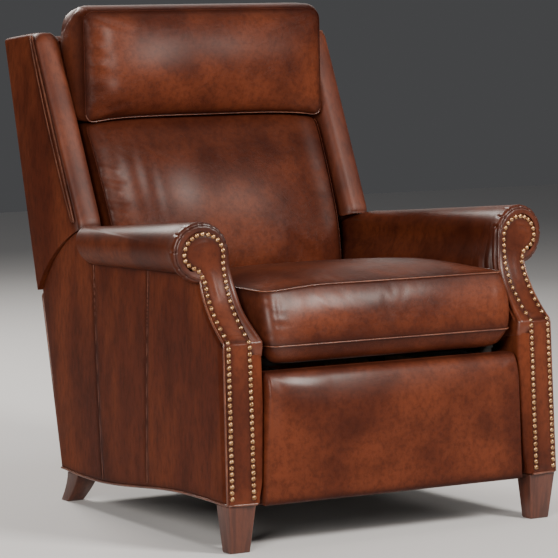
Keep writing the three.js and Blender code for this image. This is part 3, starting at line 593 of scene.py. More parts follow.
def metal(name, look):
    material, tree, shader, source = startMaterial(name)
    cloud = noise(tree, placed(tree, source, scale=look["stretch"]), look["scale"], 5.0, 0.65)
    colour = mixColour(tree, stepped(tree, cloud, 0.38, 0.66), (*look["dark"], 1), (*look["light"], 1))
    tree.links.new(colour, shader.inputs["Base Color"])
    addRoughness(tree, shader, cloud, 0.3, look["rough"])
    shader.inputs["Metallic"].default_value = look["metallic"]
    addBump(tree, shader, cloud, look["bump"], 0.0002)
    return material


antiqueBrass = metal("antiqueBrass", {
    "stretch": (1, 1, 1), "scale": 260.0, "dark": (0.24, 0.12, 0.05), "light": (0.66, 0.41, 0.22),
    "rough": 0.19, "metallic": 0.95, "bump": 0.3})
# near-black tones so the mechanism reads as the shade under the seat: partly its black finish, partly painted
# shade
blackSteelAndShade = metal("blackSteelAndShade", {
    "stretch": (1, 0.2, 1), "scale": 120.0, "dark": (0.022, 0.022, 0.023), "light": (0.06, 0.06, 0.062),
    "rough": 0.35, "metallic": 0.6, "bump": 0.25})


def webbingCloth(name):
    material, tree, shader, source = startMaterial(name)
    threads = {"Scale": 160.0, "Distortion": 0.4, "Detail": 1.0}
    warp = nodeOf(tree, "ShaderNodeTexWave", **threads)
    weft = nodeOf(tree, "ShaderNodeTexWave", bands_direction="Z", **threads)
    for texture in (warp, weft):
        tree.links.new(source, texture.inputs["Vector"])
    cross = times(tree, warp.outputs["Fac"], weft.outputs["Fac"])
    colour = mixColour(tree, cross, (0.012, 0.01, 0.009, 1), (0.05, 0.042, 0.036, 1))
    tree.links.new(colour, shader.inputs["Base Color"])
    shader.inputs["Roughness"].default_value = 0.95
    addBump(tree, shader, cross, 1.0, 0.0004)
    return material


darkWebbing = webbingCloth("darkWebbing")


def dress(piece, material, body):
    piece.data.materials.clear()
    piece.data.materials.append(material)
    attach(piece, body)
    return piece


def dressPair(piece, name, material, body):  # the right piece and its mirror image on the left
    dress(piece, material, body)
    return dress(mirrored(piece, name + "Left"), material, body)


def dressCushion(piece, material, body, node):
    dress(piece, material, body)
    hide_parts(node)
    smooth(piece, 60)


print("materials ready")


def pair(name):  # the left and the right piece, each with the word that ends its node's name
    return [(bpy.data.objects[name + hand.capitalize()], hand) for hand in ("left", "right")]


def bothSides(*names):
    return [name + side for name in names for side in ("_left", "_right")]


kept = [  # CAD nodes that keep their shape get their finish
    (frameWood, bothSides("arm_frame", "back_stile") + ["rear_rail", "back_lower_rail"]),
    (railWood, bothSides("seat_rail") + ["front_stretcher"]),
    (blackSteelAndShade, bothSides("guide_rail", "hinge_plate", "carriage_angle", "mechanism_plate", "lift_link",
                           "cross_link", "tie_link", "footrest_bracket", "hinge_arm") + ["link_tube"]),
    (darkWebbing, ["back_web", "footrest_board", "seat_deck"]),
    (bodyLeather, bothSides("arm_side_panel", "arm_roll", "arm_facing", "arm_inner_pad", "wing", "wing_roll")
     + ["rear_panel", "footrest_pad", "back_skin", "back_top_rail"]),
    (cushionLeather, ["seat_cushion", "lumbar_cushion", "headrest_cushion"]),
    (legWood, bothSides("front_leg", "rear_leg")),
    (antiqueBrass, bothSides("nail_trim")),
]
for material, nodes in kept:
    for node in nodes:
        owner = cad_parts[node]
        if not owner.material_slots:
            owner.data.materials.append(material)
        for place in owner.material_slots:
            place.material = material


# ---------- cushions
seatCushion = {
    "halfWide": 303, "frontTop": 48, "frontLow": 17, "rear": 624, "weltTop": 534, "weltLow": 416, "rest": 385.4,
    "corner": 24, "crown": 20, "sag": 8, "crest": -0.4, "rearDrop": 41, "boxing": 6, "cuts": (84, 84, 16),
    "welt": 1.5, "droop": 375,
    "filling": {"stiffness": 14, "bending": 4, "pressure": 3, "slack": 0.001, "frames": 20, "cap": 12},
}


def seatFloor(y, look=seatCushion):  # the underside: its lower roll hangs in front of the deck
    return lerp(look["droop"], look["rest"], ease(52, 78, y))


def seatRule(a, b, c, look=seatCushion):
    level = np.maximum(np.abs(a), np.abs(b))
    depth = look["rear"] - look["frontLow"]
    x, q = roundedPlan(a, b, look["halfWide"], depth / 2, look["corner"])
    up = (c + 1) / 2
    share = (q + depth / 2) / depth
    front = lerp(look["frontLow"], look["frontTop"], up)
    y = lerp(front, look["rear"], share)
    z = lerp(look["weltLow"], look["weltTop"], up)
    side = np.where(np.abs(c) < 0.999, 1, 0) * np.sin(np.pi * up) * look["boxing"]
    x = x * (1 + side / 300)
    y = y - side * ease(0.25, 0.0, share) * 1.3
    ahead, behind = (look["crest"] - b) / (1 + look["crest"]), (b - look["crest"]) / (1 - look["crest"])
    dome = (1 - np.abs(a) ** 4) * (1 - np.maximum(ahead, behind) ** 2.4)
    z = z + np.where(c > 0.999, look["crown"] * np.maximum(dome, 0) ** 0.8, 0)
    z = z - look["rearDrop"] * ease(0.3, 1, share) * up
    z = z - look["sag"] * ease(-150, -300, x) * up * ease(0.5, 0.2, share)
    inside = (1 - level) * look["halfWide"]
    z = z - np.where(c < -0.999, (look["weltLow"] - seatFloor(y)) * (1 - np.exp(-(inside / 12) ** 1.3)), 0)
    return x, y, z


def rim(piece, test, order):  # points that pass the test, in order
    chosen = np.nonzero(test)[0]
    return points(piece)[chosen[np.argsort(order[chosen])]]


def looped(line):
    return np.vstack([line, line[:1]])


def makeSeat():
    look = seatCushion
    piece = gridBox("seatCushionCover", look["cuts"])
    a, b, c = points(piece).T
    shaped(piece, seatRule)
    level = np.maximum(np.abs(a), np.abs(b))
    onTop = (c > 0.999) & (level > 0.999)
    onLow = (c < -0.999) & (level > 0.999)
    hidden = (c < -0.999) & (level < 0.9)
    turn = np.arctan2(b, a)
    topLine, lowLine = rim(piece, onTop, turn), rim(piece, onLow, turn)
    puff(piece, onTop | onLow | hidden, look["filling"])
    where = points(piece)
    where[:, 2] = np.maximum(where[:, 2], seatFloor(where[:, 1] / mm + chair["middle"]) * mm)
    movePoints(piece, where)
    subdivided(piece)
    left = -look["halfWide"]
    folds = [  # gathers at the left end of the front, then slanting pulls under the top welt
        ([at(left + 30, 44, 522), at(left + 26, 20, 475), at(left + 30, 12, 424)], 7, -1.6),
        ([at(left + 84, 44, 524), at(left + 80, 20, 486), at(left + 88, 14, 450)], 12, 0.7),
        ([at(left + 110, 44, 518), at(left + 150, 24, 490), at(left + 205, 18, 474)], 9, 0.9),
        ([at(left + 170, 46, 522), at(left + 206, 26, 500), at(left + 250, 20, 486)], 9, -0.8),
        ([at(left + 350, 46, 522), at(left + 330, 26, 498), at(left + 322, 18, 478)], 9, -0.6),
        ([at(left + 96, 20, 424), at(left + 140, 14, 436), at(left + 190, 12, 440)], 8, 0.8),
        ([at(left - 6, 90, 505), at(left - 8, 130, 470)], 9, -2.5),
        ([at(left + 14, 84, 544), at(left + 40, 88, 548), at(left + 74, 104, 552)], 7, 1.6),
        ([at(left + 10, 104, 542), at(left + 38, 112, 549), at(left + 64, 128, 554)], 7, -1.4),
        ([at(296, 40, 500), at(290, 18, 470), at(296, 14, 430)], 8, -2.2),
        ([at(276, 40, 510), at(270, 18, 480), at(274, 14, 450)], 8, 1.6),
    ]
    for number, height in enumerate((512, 501, 491, 480, 470, 459, 449, 438, 428)):  # round the left corner
        ahead = float(lerp(look["frontLow"], look["frontTop"], (height - look["weltLow"]) / 112)) - 8
        ripple = [at(left - 5, ahead + 46, height + 3), at(left - 2, ahead + 18, height + 1),
                  at(left + 16, ahead + 2, height), at(left + 44 + 8 * (number % 3), ahead - 1, height - 3)]
        folds.append((ripple, 3.6, (0.5, -0.45)[number % 2]))
    creaseAll(piece, folds)
    # painted shade along both welts
    burnish(piece, [looped(topLine), looped(lowLine)], 16)
    # gloss on the front's upper left and the left corner where highlights fall: painted sheen
    where = points(piece) / mm
    rubbedToneAndSheen = spotsOfShine(where, [(-165, 499, 75, 16, 0.9), (-40, 501, 70, 14, 0.65), (60, 510, 55, 12, 0.4),
                                  (-230, 478, 40, 22, 0.12)])
    shine = lerp(rubbedToneAndSheen + 0.12, 0.32, ease(534, 545, where[:, 2]))
    corner = ease(-200, -285, where[:, 0]) * ease(250, 120, where[:, 1] + chair["middle"])
    marked(piece, "shine", shine + 0.4 * corner)
    dressCushion(piece, cushionLeather, "seat_carriage", "seat_cushion")
    for name, line in (("seatWeltTop", topLine), ("seatWeltLow", lowLine)):
        out = (line - line.mean(axis=0)) * [1, 1, 0]
        spread = line + out / np.linalg.norm(out, axis=1)[:, None] * 0.0008
        welt = piping(name, resampled(looped(spread), 0.008)[:-1], look["welt"], True)
        dress(welt, highlitWeltLeather, "seat_carriage")


headrest = {
    "halfWide": 309, "low": 832, "seamTop": 1079, "top": 1091, "frontLow": 773, "frontTop": 782, "rear": 886,
    "crown": 28, "boxing": 11, "corner": 24, "lift": 13, "rearRound": 62, "cuts": (84, 18, 38), "welt": 1.1,
    "seamCord": 0.8,
    "filling": {"stiffness": 14, "bending": 5.0, "pressure": 3.5, "slack": -0.001, "frames": 20, "cap": 12},
}


def headrestRule(a, b, c, look=headrest):
    x, q = roundedPlan(a, c, look["halfWide"], (look["seamTop"] - look["low"]) / 2, look["corner"])
    z = q + (look["seamTop"] + look["low"]) / 2
    deep = (b + 1) / 2
    up = np.clip((z - look["low"]) / (look["seamTop"] - look["low"]), 0, 1)
    front = lerp(look["frontLow"], look["frontTop"], up)
    rear = np.minimum(look["rear"], rearY(z) - 50)
    y = lerp(front, rear, deep)
    level = np.maximum(np.abs(a), np.abs(c))
    out = np.where(np.abs(b) < 0.999, np.sin(np.pi * deep) ** 0.7, 0) * (level > 0.999)
    x = x + np.sign(x) * out * look["boxing"] * (np.abs(x) > look["halfWide"] - look["corner"])
    z = z + out * (look["top"] - look["seamTop"]) * ease(0.8, 1, up)
    high = look["rearRound"] * ease(0.0, 1.0, deep)  # the top corners round off towards the rear
    overX = np.clip(np.abs(x) - (look["halfWide"] - high), 0, None)
    overZ = np.clip(z - (look["top"] - high), 0, None)
    far = np.hypot(overX, overZ)
    pull = np.where((overX > 0) & (overZ > 0) & (far > high), high / np.maximum(far, 0.01), 1)
    x = np.where(pull < 1, np.sign(x) * (look["halfWide"] - high + overX * pull), x)
    z = np.where(pull < 1, look["top"] - high + overZ * pull, z)
    z = z + look["lift"] * (1 - np.abs(a) ** 5) * (1 - up) ** 3  # the bottom seam bows up between its corners
    puffed = np.maximum(1 - np.abs(a) ** 7, 0) ** 0.6 * np.maximum(1 - np.abs(c) ** 3.2, 0) ** 0.55
    y = y - np.where(b < -0.999, look["crown"] * puffed * (1 + 0.12 * ease(0.6, 0.1, up)), 0)
    return x, y, z


def makeHeadrest():
    look = headrest
    piece = gridBox("headrestCover", look["cuts"])
    a, b, c = points(piece).T
    shaped(piece, headrestRule)
    level = np.maximum(np.abs(a), np.abs(c))
    seam = (b < -0.999) & (level > 0.999)
    hidden = (b > 0.5) | ((c < -0.999) & (b > -0.6))
    line = rim(piece, seam, np.arctan2(c, a))
    puff(piece, seam | hidden, look["filling"])
    subdivided(piece)
    half, low = look["halfWide"], look["low"]
    folds = []
    for height, run, deep in (  # short pulls along both ends
            (1052, 34, 0.8), (1030, 44, -0.8), (1008, 40, 1.4), (984, 54, -1.8), (962, 44, 2.4), (940, 60, -2.2),
            (918, 44, 2.0), (896, 56, -1.8), (872, 40, 1.8), (850, 46, -1.8)):
        tilt = (height - 950) * 0.12
        folds.append(([at(3 - half, 778, height), at(run * 0.5 - half, 764, height - tilt),
                       at(run - half, 756, height - tilt * 2)], 6, deep))
        folds.append(([at(half - 3, 778, height), at(half - run * 0.4, 764, height),
                       at(half - run * 0.8, 758, height)], 6, deep * 0.6))
    for side, near, far, deep in ((-1, 40, 90, 3.0), (1, 34, 70, 2.4)):  # out of the lower corners
        folds.append(([at(side * (half - 6), 782, low + 4), at(side * (half - near), 762, low + 22),
                       at(side * (half - far), 756, low + 40)], 8, deep))
    for side, near, far, deep in ((-1, 50, 110, -2.5), (1, 40, 90, -2.0)):
        folds.append(([at(side * (half - 6), 782, low + 3), at(side * (half - near), 764, low + 13),
                       at(side * (half - far), 758, low + 24)], 6, deep))
    creaseAll(piece, folds, 0.5)
    # painted shade round the seam
    burnish(piece, [looped(line)], 18)
    # gloss where highlights fall on the front and left end: painted sheen
    rubbedToneAndSheen = [(-140, 980, 80, 30, 0.95), (40, 988, 90, 26, 0.55), (180, 990, 60, 24, 0.3),
              (-262, 1010, 12, 26, 0.8), (-255, 970, 14, 20, 1.0), (-252, 920, 14, 14, 1.0)]
    where = points(piece) / mm
    side = ease(-0.45, -0.15, normals(piece)[:, 1])  # the boxing behind the seam gets gloss for a painted sheen
    marked(piece, "shine", lerp(spotsOfShine(where, rubbedToneAndSheen, 0.04), 0.8, side))
    dressCushion(piece, cushionLeather, "back", "headrest_cushion")
    whole = resampled(looped(line), 0.008)[:-1] + [0, -0.0002, 0]
    under = whole[whole[:, 2] < (look["low"] + look["corner"]) * mm]
    under = under[np.argsort(under[:, 0])]
    over = whole[whole[:, 2] > (look["low"] + look["corner"] / 2) * mm]
    start = int(np.argmax(np.linalg.norm(over - np.roll(over, 1, axis=0), axis=1)))
    over = np.roll(over, -start, axis=0)
    for name, line, radius, material in (("headrestWelt", under, look["welt"], highlitWeltLeather),
                                         ("headrestSeam", over, look["seamCord"], cushionLeather)):
        welt = piping(name, line, radius)
        # the welts are darkened to sit in the seam's painted shade
        marked(welt, "burnish", np.full(len(welt.data.vertices), 0.6))
        dress(welt, material, "back")


lumbar = {
    "halfWide": 303, "low": 446, "top": 829, "corner": 14, "crown": 17, "lift": 14, "cuts": (82, 8, 54),
    "front": [(446, 650), (503, 659), (560, 669), (618, 686), (680, 712), (740, 740), (788, 764), (829, 788)],
    "welt": 1.2, "taper": 14,
    "filling": {"stiffness": 14, "bending": 5.0, "pressure": 3, "slack": -0.001, "frames": 20, "cap": 12},
}


def lumbarRule(a, b, c, look=lumbar):
    x, q = roundedPlan(a, c, look["halfWide"], (look["top"] - look["low"]) / 2, look["corner"])
    z = q + (look["top"] + look["low"]) / 2
    up = (z - look["low"]) / (look["top"] - look["low"])
    front = np.interp(z, *zip(*look["front"]))
    rear = np.minimum(682 + 0.64 * (z - 440), rearY(z) - 50)
    y = lerp(front, rear, (b + 1) / 2)
    puffed = np.maximum(1 - np.abs(a) ** 6, 0) ** 0.6 * np.maximum(1 - np.abs(c) ** 6, 0) ** 0.6
    y = y - np.where(b < -0.999, look["crown"] * puffed * (1 + 0.5 * np.exp(-((up - 0.3) / 0.2) ** 2)), 0)
    z = z + look["lift"] * (1 - np.abs(a) ** 5) * np.clip(up, 0, 1) ** 6
    return x * (1 - look["taper"] / look["halfWide"] * (1 - np.clip(up, 0, 1))), y, z


def makeLumbar():
    look = lumbar
    piece = gridBox("lumbarCushionCover", look["cuts"])
    a, b, c = points(piece).T
    shaped(piece, lumbarRule)
    level = np.maximum(np.abs(a), np.abs(c))
    seam = (b < -0.999) & (level > 0.999)
    line = rim(piece, seam, np.arctan2(c, a))
    puff(piece, seam | (b > 0.2), look["filling"])
    subdivided(piece)
    left, top = -look["halfWide"], look["top"]
    folds = []
    for far, drop, deep in (  # a fan out of the upper left corner
            (16, 60, 2.2), (30, 84, -2.0), (46, 66, 2.0), (66, 96, -1.7), (90, 70, 1.6), (118, 90, -1.3)):
        folds.append(([at(left + 4 + far * 0.2, 786, top - 3), at(left + far * 0.8, 744, top - drop * 0.5),
                       at(left + far * 1.7, 726, top - drop)], 7, deep))
    for height, run, deep in (  # short pulls down both sides
            (742, 50, 2.0), (720, 62, -1.8), (698, 46, 2.2), (674, 60, -2.0), (650, 48, 2.2), (626, 56, -1.9),
            (602, 44, 1.9), (580, 50, -1.6)):
        near = np.interp(height, *zip(*look["front"]))
        folds.append(([at(left + 2, near, height), at(left + run * 0.5, near - 16, height - 6),
                       at(left + run, near - 20, height - 16)], 6, deep))
        folds.append(([at(-left - 2, near, height), at(-left - run * 0.4, near - 16, height - 5),
                       at(-left - run * 0.8, near - 20, height - 12)], 6, deep * 0.6))
    creaseAll(piece, folds, 0.5)
    where = points(piece) / mm
    up = (where[:, 2] - look["low"]) / (look["top"] - look["low"])
    # painted shade round the seam, and over the top where the headrest overhangs it
    burnish(piece, [looped(line)], 16, 0.62 * ease(0.6, 0.9, up))
    # gloss where highlights fall on the left, centre and right margin: painted sheen
    rubbedToneAndSheen = [(-246, 705, 14, 55, 1.0), (-205, 718, 10, 44, 0.6), (-168, 690, 10, 40, 0.45),
              (-105, 690, 42, 44, 0.75), (30, 670, 110, 50, 0.3), (264, 760, 18, 90, 0.8),
              (268, 640, 22, 80, 0.7), (-280, 720, 14, 90, 0.6)]
    marked(piece, "shine", spotsOfShine(where, rubbedToneAndSheen, 0.03))
    dressCushion(piece, cushionLeather, "back", "lumbar_cushion")
    for name, sign in (("lumbarWeltLeft", -1), ("lumbarWeltRight", 1)):  # down each side
        edge = line[(line[:, 0] * sign > 0.27) & (line[:, 2] < (top - 1) * mm)]
        edge = edge[np.argsort(edge[:, 2])]
        welt = piping(name, resampled(edge, 0.008) + [0, -0.0002, 0], look["welt"])
        # the welts are darkened to sit in the seam's painted shade
        marked(welt, "burnish", np.full(len(welt.data.vertices), 0.7))
        dress(welt, cushionLeather, "back")


footPad = {
    "halfWide": 327, "narrow": 13, "low": 92, "rise": 272.5, "lean": 14, "stand": 2, "thick": 37.5, "corner": 8,
    "crown": 8, "edge": 10, "topTall": 62, "topDeep": 25, "top": 366.6, "cuts": (84, 8, 44),
    "filling": {"stiffness": 20, "bending": 4, "pressure": 2.5, "slack": -0.004, "frames": 12, "cap": 4},
}


def footRule(a, b, c, look=footPad):
    x, q = roundedPlan(a, c, look["halfWide"], look["rise"] / 2, look["corner"])
    tilt = math.atan2(look["lean"], 270)
    up = q + look["rise"] / 2
    edge = np.minimum(look["halfWide"] - np.abs(x), up)
    x = x * (1 - look["narrow"] / look["halfWide"] * up / look["rise"])
    fall = roundOff(edge, look["edge"])
    head = np.clip(1 - (look["rise"] - up) / look["topTall"], 0, 1)
    fall = fall + look["topDeep"] * (1 - np.sqrt(1 - head ** 2))
    puffed = (1 - np.abs(a) ** 4) * (1 - np.abs(c) ** 4)
    face = 1.5 + fall - look["crown"] * puffed
    rear = look["thick"] * math.cos(tilt) + up * math.sin(tilt)  # against the leaning board
    y = lerp(face + look["stand"] * up / look["rise"], rear, (b + 1) / 2)
    z = look["low"] + up * lerp(1, math.cos(tilt), (b + 1) / 2)
    return x, y, np.minimum(z, look["top"])


def makeFootPad():
    look = footPad
    piece = gridBox("footrestCover", look["cuts"])
    grid = points(piece)
    flat = grid[:, [0, 2]]
    grid[:, [0, 2]] = np.sign(flat) * (1 - (1 - np.abs(flat)) ** 1.25)  # closer rows at the edges
    movePoints(piece, grid)
    a, b, c = grid.T
    shaped(piece, footRule)
    level = np.maximum(np.abs(a), np.abs(c))
    puff(piece, (b > -0.5) | (level > 0.97), look["filling"])
    subdivided(piece)
    left, top, foot = look["narrow"] - look["halfWide"], 364, -look["halfWide"]
    folds = [  # pulls that run out of the top corners
        ([at(left + 4, 24, top - 6), at(left + 26, 14, top - 30), at(left + 52, 6, top - 62)], 8, -2.0),
        ([at(left + 8, 26, top - 4), at(left + 50, 16, top - 20), at(left + 118, 10, top - 30)], 6, -1.4),
        ([at(left + 30, 20, top - 12), at(left + 84, 8, top - 34), at(left + 150, 4, top - 40)], 26, 3.2),
        ([at(-left - 6, 22, top - 2), at(-left - 26, 8, top - 22), at(-left - 46, 2, top - 40)], 10, 1.4),
    ]
    creaseAll(piece, folds, 0.5)
    # painted shade along the top and bottom edges
    burnish(piece, [[at(left, 26, 366), at(-left, 26, 366)], [at(-foot, 2, 98), at(foot, 2, 98)]], 9)
    where = points(piece) / mm
    # gloss on the upper left where the highlight falls: painted sheen
    rubbedToneAndSheen = [(-235, 338, 52, 20, 1.0), (-140, 328, 80, 22, 0.75), (0, 322, 120, 20, 0.4),
              (180, 322, 120, 20, 0.2), (-300, 300, 16, 60, 0.2)]
    marked(piece, "shine", spotsOfShine(where, rubbedToneAndSheen, 0.05))
    dressCushion(piece, padLeather, "footrest", "footrest_pad")


makeSeat()
makeHeadrest()
makeLumbar()
makeFootPad()
print("cushions ready")


# ---------- arms
arm = {
    "rollX": (401.5, 377), "rollTop": (664.5, 616), "rollRadius": (52, 37.5), "rimSwell": 8.5, "swellReach": 0.05,
    "rear": 600, "rearSlant": 0.6, "rearInner": 735, "rim": 9, "lip": 7, "tail": 16, "footLip": 13, "behind": 2.2,
    "length": 495, "under": -108, "rollShare": 0.58, "padIn": 20, "padFoot": 387, "rows": 75, "around": 200,
    "faceFoot": 101, "faceSet": 0.6, "faceCrown": 2.2, "faceEdge": 5, "faceWall": 9, "edgeWelt": 2.3,
    "nailInset": 7.7, "nailWide": 11, "nailTall": 4.0, "nailPitch": 12.6,
    "wrapInner": 322, "wrapSlope": 0.048, "wrapRound": 10, "tucks": [-52, -30, 4, 38, 62, 90, 116, 140, 163],
    "pleats": [(0.05, 0.54, 1.4), (0.087, 0.535, 2.0), (0.123, 0.53, -2.6), (0.176, 0.53, 2.8),
               (0.213, 0.535, -3.2), (0.247, 0.53, 3.0), (0.28, 0.535, -3.0), (0.315, 0.54, 2.6),
               (0.352, 0.55, -1.8)],
}


def rollRadius(t, look=arm):  # full at the rim, then tapering to the rear
    return lerp(*look["rollRadius"], t) + look["rimSwell"] * np.exp(-(t / look["swellReach"]) ** 2)


def armSection(s, t, look=arm):  # x, z round the roll from under it, over the top and down the inner side
    radius = rollRadius(t)
    cx, cz = lerp(*look["rollX"], t), lerp(*look["rollTop"], t) - radius
    share = look["rollShare"]
    turn = np.radians(lerp(look["under"], 180, np.clip(s / share, 0, 1)))
    down = np.clip((s - share) / (1 - share), 0, 1)
    x = cx + radius * np.cos(turn)
    z = cz + radius * np.sin(turn) - down * (cz - look["padFoot"])
    full = look["padIn"] * lerp(0.25 + 0.55 * ease(0.5, 0.9, down), 1, ease(0.0, 0.12, t))
    inner = chair["armInner"] - 2 - full * ease(0, 0.42, down)
    inner = inner - 2.5 * np.sin(np.pi * np.clip((down - 0.3) / 0.7, 0, 1)) + 9 * ease(0.93, 1, down)
    x = np.where(s > share, lerp(x, inner, ease(0, 0.3, down)), x)
    return x, z


def armRule(u, v, look=arm):
    rimRows = 10 / look["rows"]
    rimPart = np.clip(v / rimRows, 0, 1)
    t = np.clip((v - rimRows) / (1 - rimRows), 0, 1) ** 1.6
    x, z = armSection(u, t)
    step = 0.002
    x0, z0 = armSection(np.clip(u - step, 0, 1), t)
    x1, z1 = armSection(np.clip(u + step, 0, 1), t)
    dx, dz = x1 - x0, z1 - z0
    size = np.maximum(np.hypot(dx, dz), 0.0001)
    outX, outZ = dz / size, -dx / size
    lipPart = np.clip(1 - rimPart / 0.3, 0, 1)
    angle = np.clip((rimPart - 0.3) / 0.7, 0, 1) * np.pi / 2
    down = (u - look["rollShare"]) / (1 - look["rollShare"])
    lip = look["lip"] + look["tail"] * ease(0.11, 0.05, u)  # wider under the hook of the scroll
    lip = lip + look["footLip"] * ease(0.5, 0.9, down) * ease(1, 0.95, down)  # and at the inner foot
    inward = look["rim"] * (1 - np.sin(angle)) + lip * lipPart
    x, z = x - outX * inward, z - outZ * inward
    front = frontY(x, np.minimum(z, chair["scrollHeight"])) + look["behind"] + look["rim"] * (1 - np.cos(angle))
    front = front + 4 * ease(0.84, 0.95, down)  # its foot goes behind the lining
    above = np.clip(z, 300, 618) - chair["pivotHeight"]
    sweep = chair["pivotSetback"] + np.sqrt((chair["bodyArc"] + 1) ** 2 - above ** 2)
    outer = np.minimum(look["rear"] + (z - 540) * look["rearSlant"], sweep)
    inner = np.minimum(look["rearInner"], sweep)  # the inner side runs on beside the lumbar cushion
    rear = lerp(outer, inner, ease(0.55, 0.85, u / look["rollShare"]))
    return x, lerp(front, rear, t), z


def facingRule(u, v, look=arm):
    path = facingEdge(1.5, look["faceFoot"])
    top = int(np.argmax(path[:, 1]))
    inner, outer = path[:top + 1], path[top:][::-1]
    rise = np.where(v < 0.7, v / 0.7 * 0.8, 0.8 + 0.2 * np.sin((v - 0.7) / 0.3 * np.pi / 2))
    z = lerp(look["faceFoot"], path[top, 1] - 0.15, rise)
    left = np.interp(z, inner[:, 1], inner[:, 0])
    right = np.interp(z, outer[:, 1], outer[:, 0])
    x = lerp(left, right, lerp(u, 0.5 - 0.5 * np.cos(np.pi * u), 0.75))
    edge = np.minimum(distanceTo(np.stack([x, z], axis=1), path)[0], z - look["faceFoot"])
    drop = roundOff(edge, look["faceEdge"]) + np.where(edge < 0.3, look["faceWall"] - look["faceEdge"], 0)
    swell = look["faceCrown"] * (1 - np.exp(-np.maximum(edge - 8, 0) / 9))
    groove = 0.8 * np.exp(-((edge - look["nailInset"] + 1.5) / 4.5) ** 2)
    return x, frontY(x, np.minimum(z, chair["faceTop"])) - look["faceSet"] + drop - swell + groove, z


def facePoint(x, z, out=0):
    return at(x, float(frontY(x, min(z, chair["faceTop"]))) - out, z)


def makeArm():
    look = arm
    skin = sheet("armCoverRight", look["around"], look["rows"] * 2, armRule)
    skin.data.flip_normals()
    for angle in look["tucks"]:  # tucks where the roll's hide is gathered over the rim
        turn = math.radians(angle)
        spots = [rollSpot(turn, back, drop) for back, drop in ((-9, 9), (-7, 4), (-2, 0), (6, 0), (18, 0))]
        beside = Vector((math.sin(turn), 0, -math.cos(turn))) * 0.0055
        crease(skin, spots, 2.4, -1.9, 0.3)
        crease(skin, [spot + beside for spot in spots], 3.0, 0.5, 0.3)
    ring = [rollSpot(math.radians(angle), -6.5, 4.5) for angle in range(-80, 186, 4)]
    crease(skin, ring, 1.8, -2.2, 0.05)
    # gloss on the roll's top, its front and the inner side by the facing, where highlights fall: painted sheen
    across, ahead, up = normals(skin).T
    x, y, z = points(skin).T / mm
    wrap = y + chair["middle"] - frontY(x, np.minimum(z, 600))
    rubbedToneAndSheen = ease(0.05, 0.6, up) * lerp(0.4, 1, ease(4, 16, wrap))
    marked(skin, "shine", rubbedToneAndSheen + 0.7 * ease(-0.2, -0.7, ahead) * ease(-0.7, -0.2, up)
           + 0.6 * ease(66, 40, wrap) * ease(-0.3, -0.8, across))
    for v, head, deep in look["pleats"]:  # upright pleats where the inner side wraps round to the facing
        u = np.linspace(0.93, head, 30)
        x, y, z = armRule(u, np.full(30, v))
        crease(skin, [at(*spot) for spot in zip(x, y, z)], 3.8, deep, 0.12)
    # painted shade beside the facing's edge and in the ring groove
    burnish(skin, [[facePoint(x, z, -6) for x, z in facingEdge(0, 110)[::4]], ring], 5)
    smooth(walled(skin, 2.4, 1), 60)
    face = walled(sheet("armFacingRight", 44, 220, facingRule), 2, -1)
    for spots, wide, deep, soft in (  # a fold across the knee, a crescent in the scroll, a pull under it
            (((354, 431), (376, 429), (402, 431)), 3.5, -1.6, 0.15),
            (((356, 424), (376, 422), (400, 424)), 3.5, 0.8, 0.2),
            (((358, 440), (376, 438), (394, 441)), 4.5, 1.6, 0.4),
            (((429, 607), (422, 615), (410, 622), (397, 625), (382, 622)), 5, 1.5, 0.4),
            (((424, 600), (414, 608), (400, 613), (386, 611)), 5, -1.0, 0.4),
            (((384, 568), (380, 540), (378, 505)), 6, 1.2, 0.4)):
        crease(face, [facePoint(x, z) for x, z in spots], wide, deep, soft)
    marked(face, "shine", np.full(len(points(face)), 0.25))
    # painted shade inside the facing's edge and in the knee fold
    knee = [facePoint(345, 431), facePoint(410, 431)]
    burnish(face, [[facePoint(x, z) for x, z in facingEdge(9, 112)[::3]], knee], 7)
    smooth(face, 60)
    disc = sheet("armRollEndRight", 20, 20, endRule, 2)
    smooth(disc, 60)
    line = [facePoint(x, z, -3.4) for x, z in facingEdge(-1.0, look["faceFoot"])
            if x > chair["scrollX"] and z < 556]
    cord = piping("facingWeltRight", resampled(line, 0.008), look["edgeWelt"])
    dressPair(cord, "facingWelt", highlitWeltLeather, "base")
    for piece, name in ((skin, "armCover"), (face, "armFacing"), (disc, "armRollEnd")):
        dressPair(piece, name, armLeather, "base")
    gloss = np.empty(len(skin.data.vertices), dtype=np.float32)
    skin.data.attributes["shine"].data.foreach_get("value", gloss)
    marked(skin, "shine", gloss * lerp(1, 0.4, ease(0.2, 0.8, normals(skin)[:, 2])))  # the right roll's gloss is cut on top to soften its highlight: painted sheen
    for cover, hand in pair("armCover"):
        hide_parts("arm_roll_" + hand, "arm_inner_pad_" + hand)
    for facing, hand in pair("armFacing"):
        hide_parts("arm_facing_" + hand)


def rollSpot(turn, back, drop, look=arm):  # on the roll, so far behind its front edge and so far under its skin
    t = max(back, 0) / look["length"]
    radius = float(rollRadius(t))
    x = lerp(*look["rollX"], t) + (radius - drop) * math.cos(turn)
    z = lerp(*look["rollTop"], t) - radius + (radius - drop) * math.sin(turn)
    return at(x, float(frontY(x, min(z, chair["scrollHeight"]))) + look["behind"] + look["rim"] + back, z)


def endRule(u, v, look=arm):  # domed end of the roll at the back
    p, q = u * 2 - 1, v * 2 - 1
    x = p * np.sqrt(1 - q * q / 2)
    z = q * np.sqrt(1 - p * p / 2)
    far = np.hypot(x, z)
    radius = look["rollRadius"][1] - 1.6
    height = look["rollTop"][1] - look["rollRadius"][1] + z * radius
    y = look["rear"] + (height - 540) * look["rearSlant"] + (1 - far ** 2) - 2
    return look["rollX"][1] + x * radius, y, height


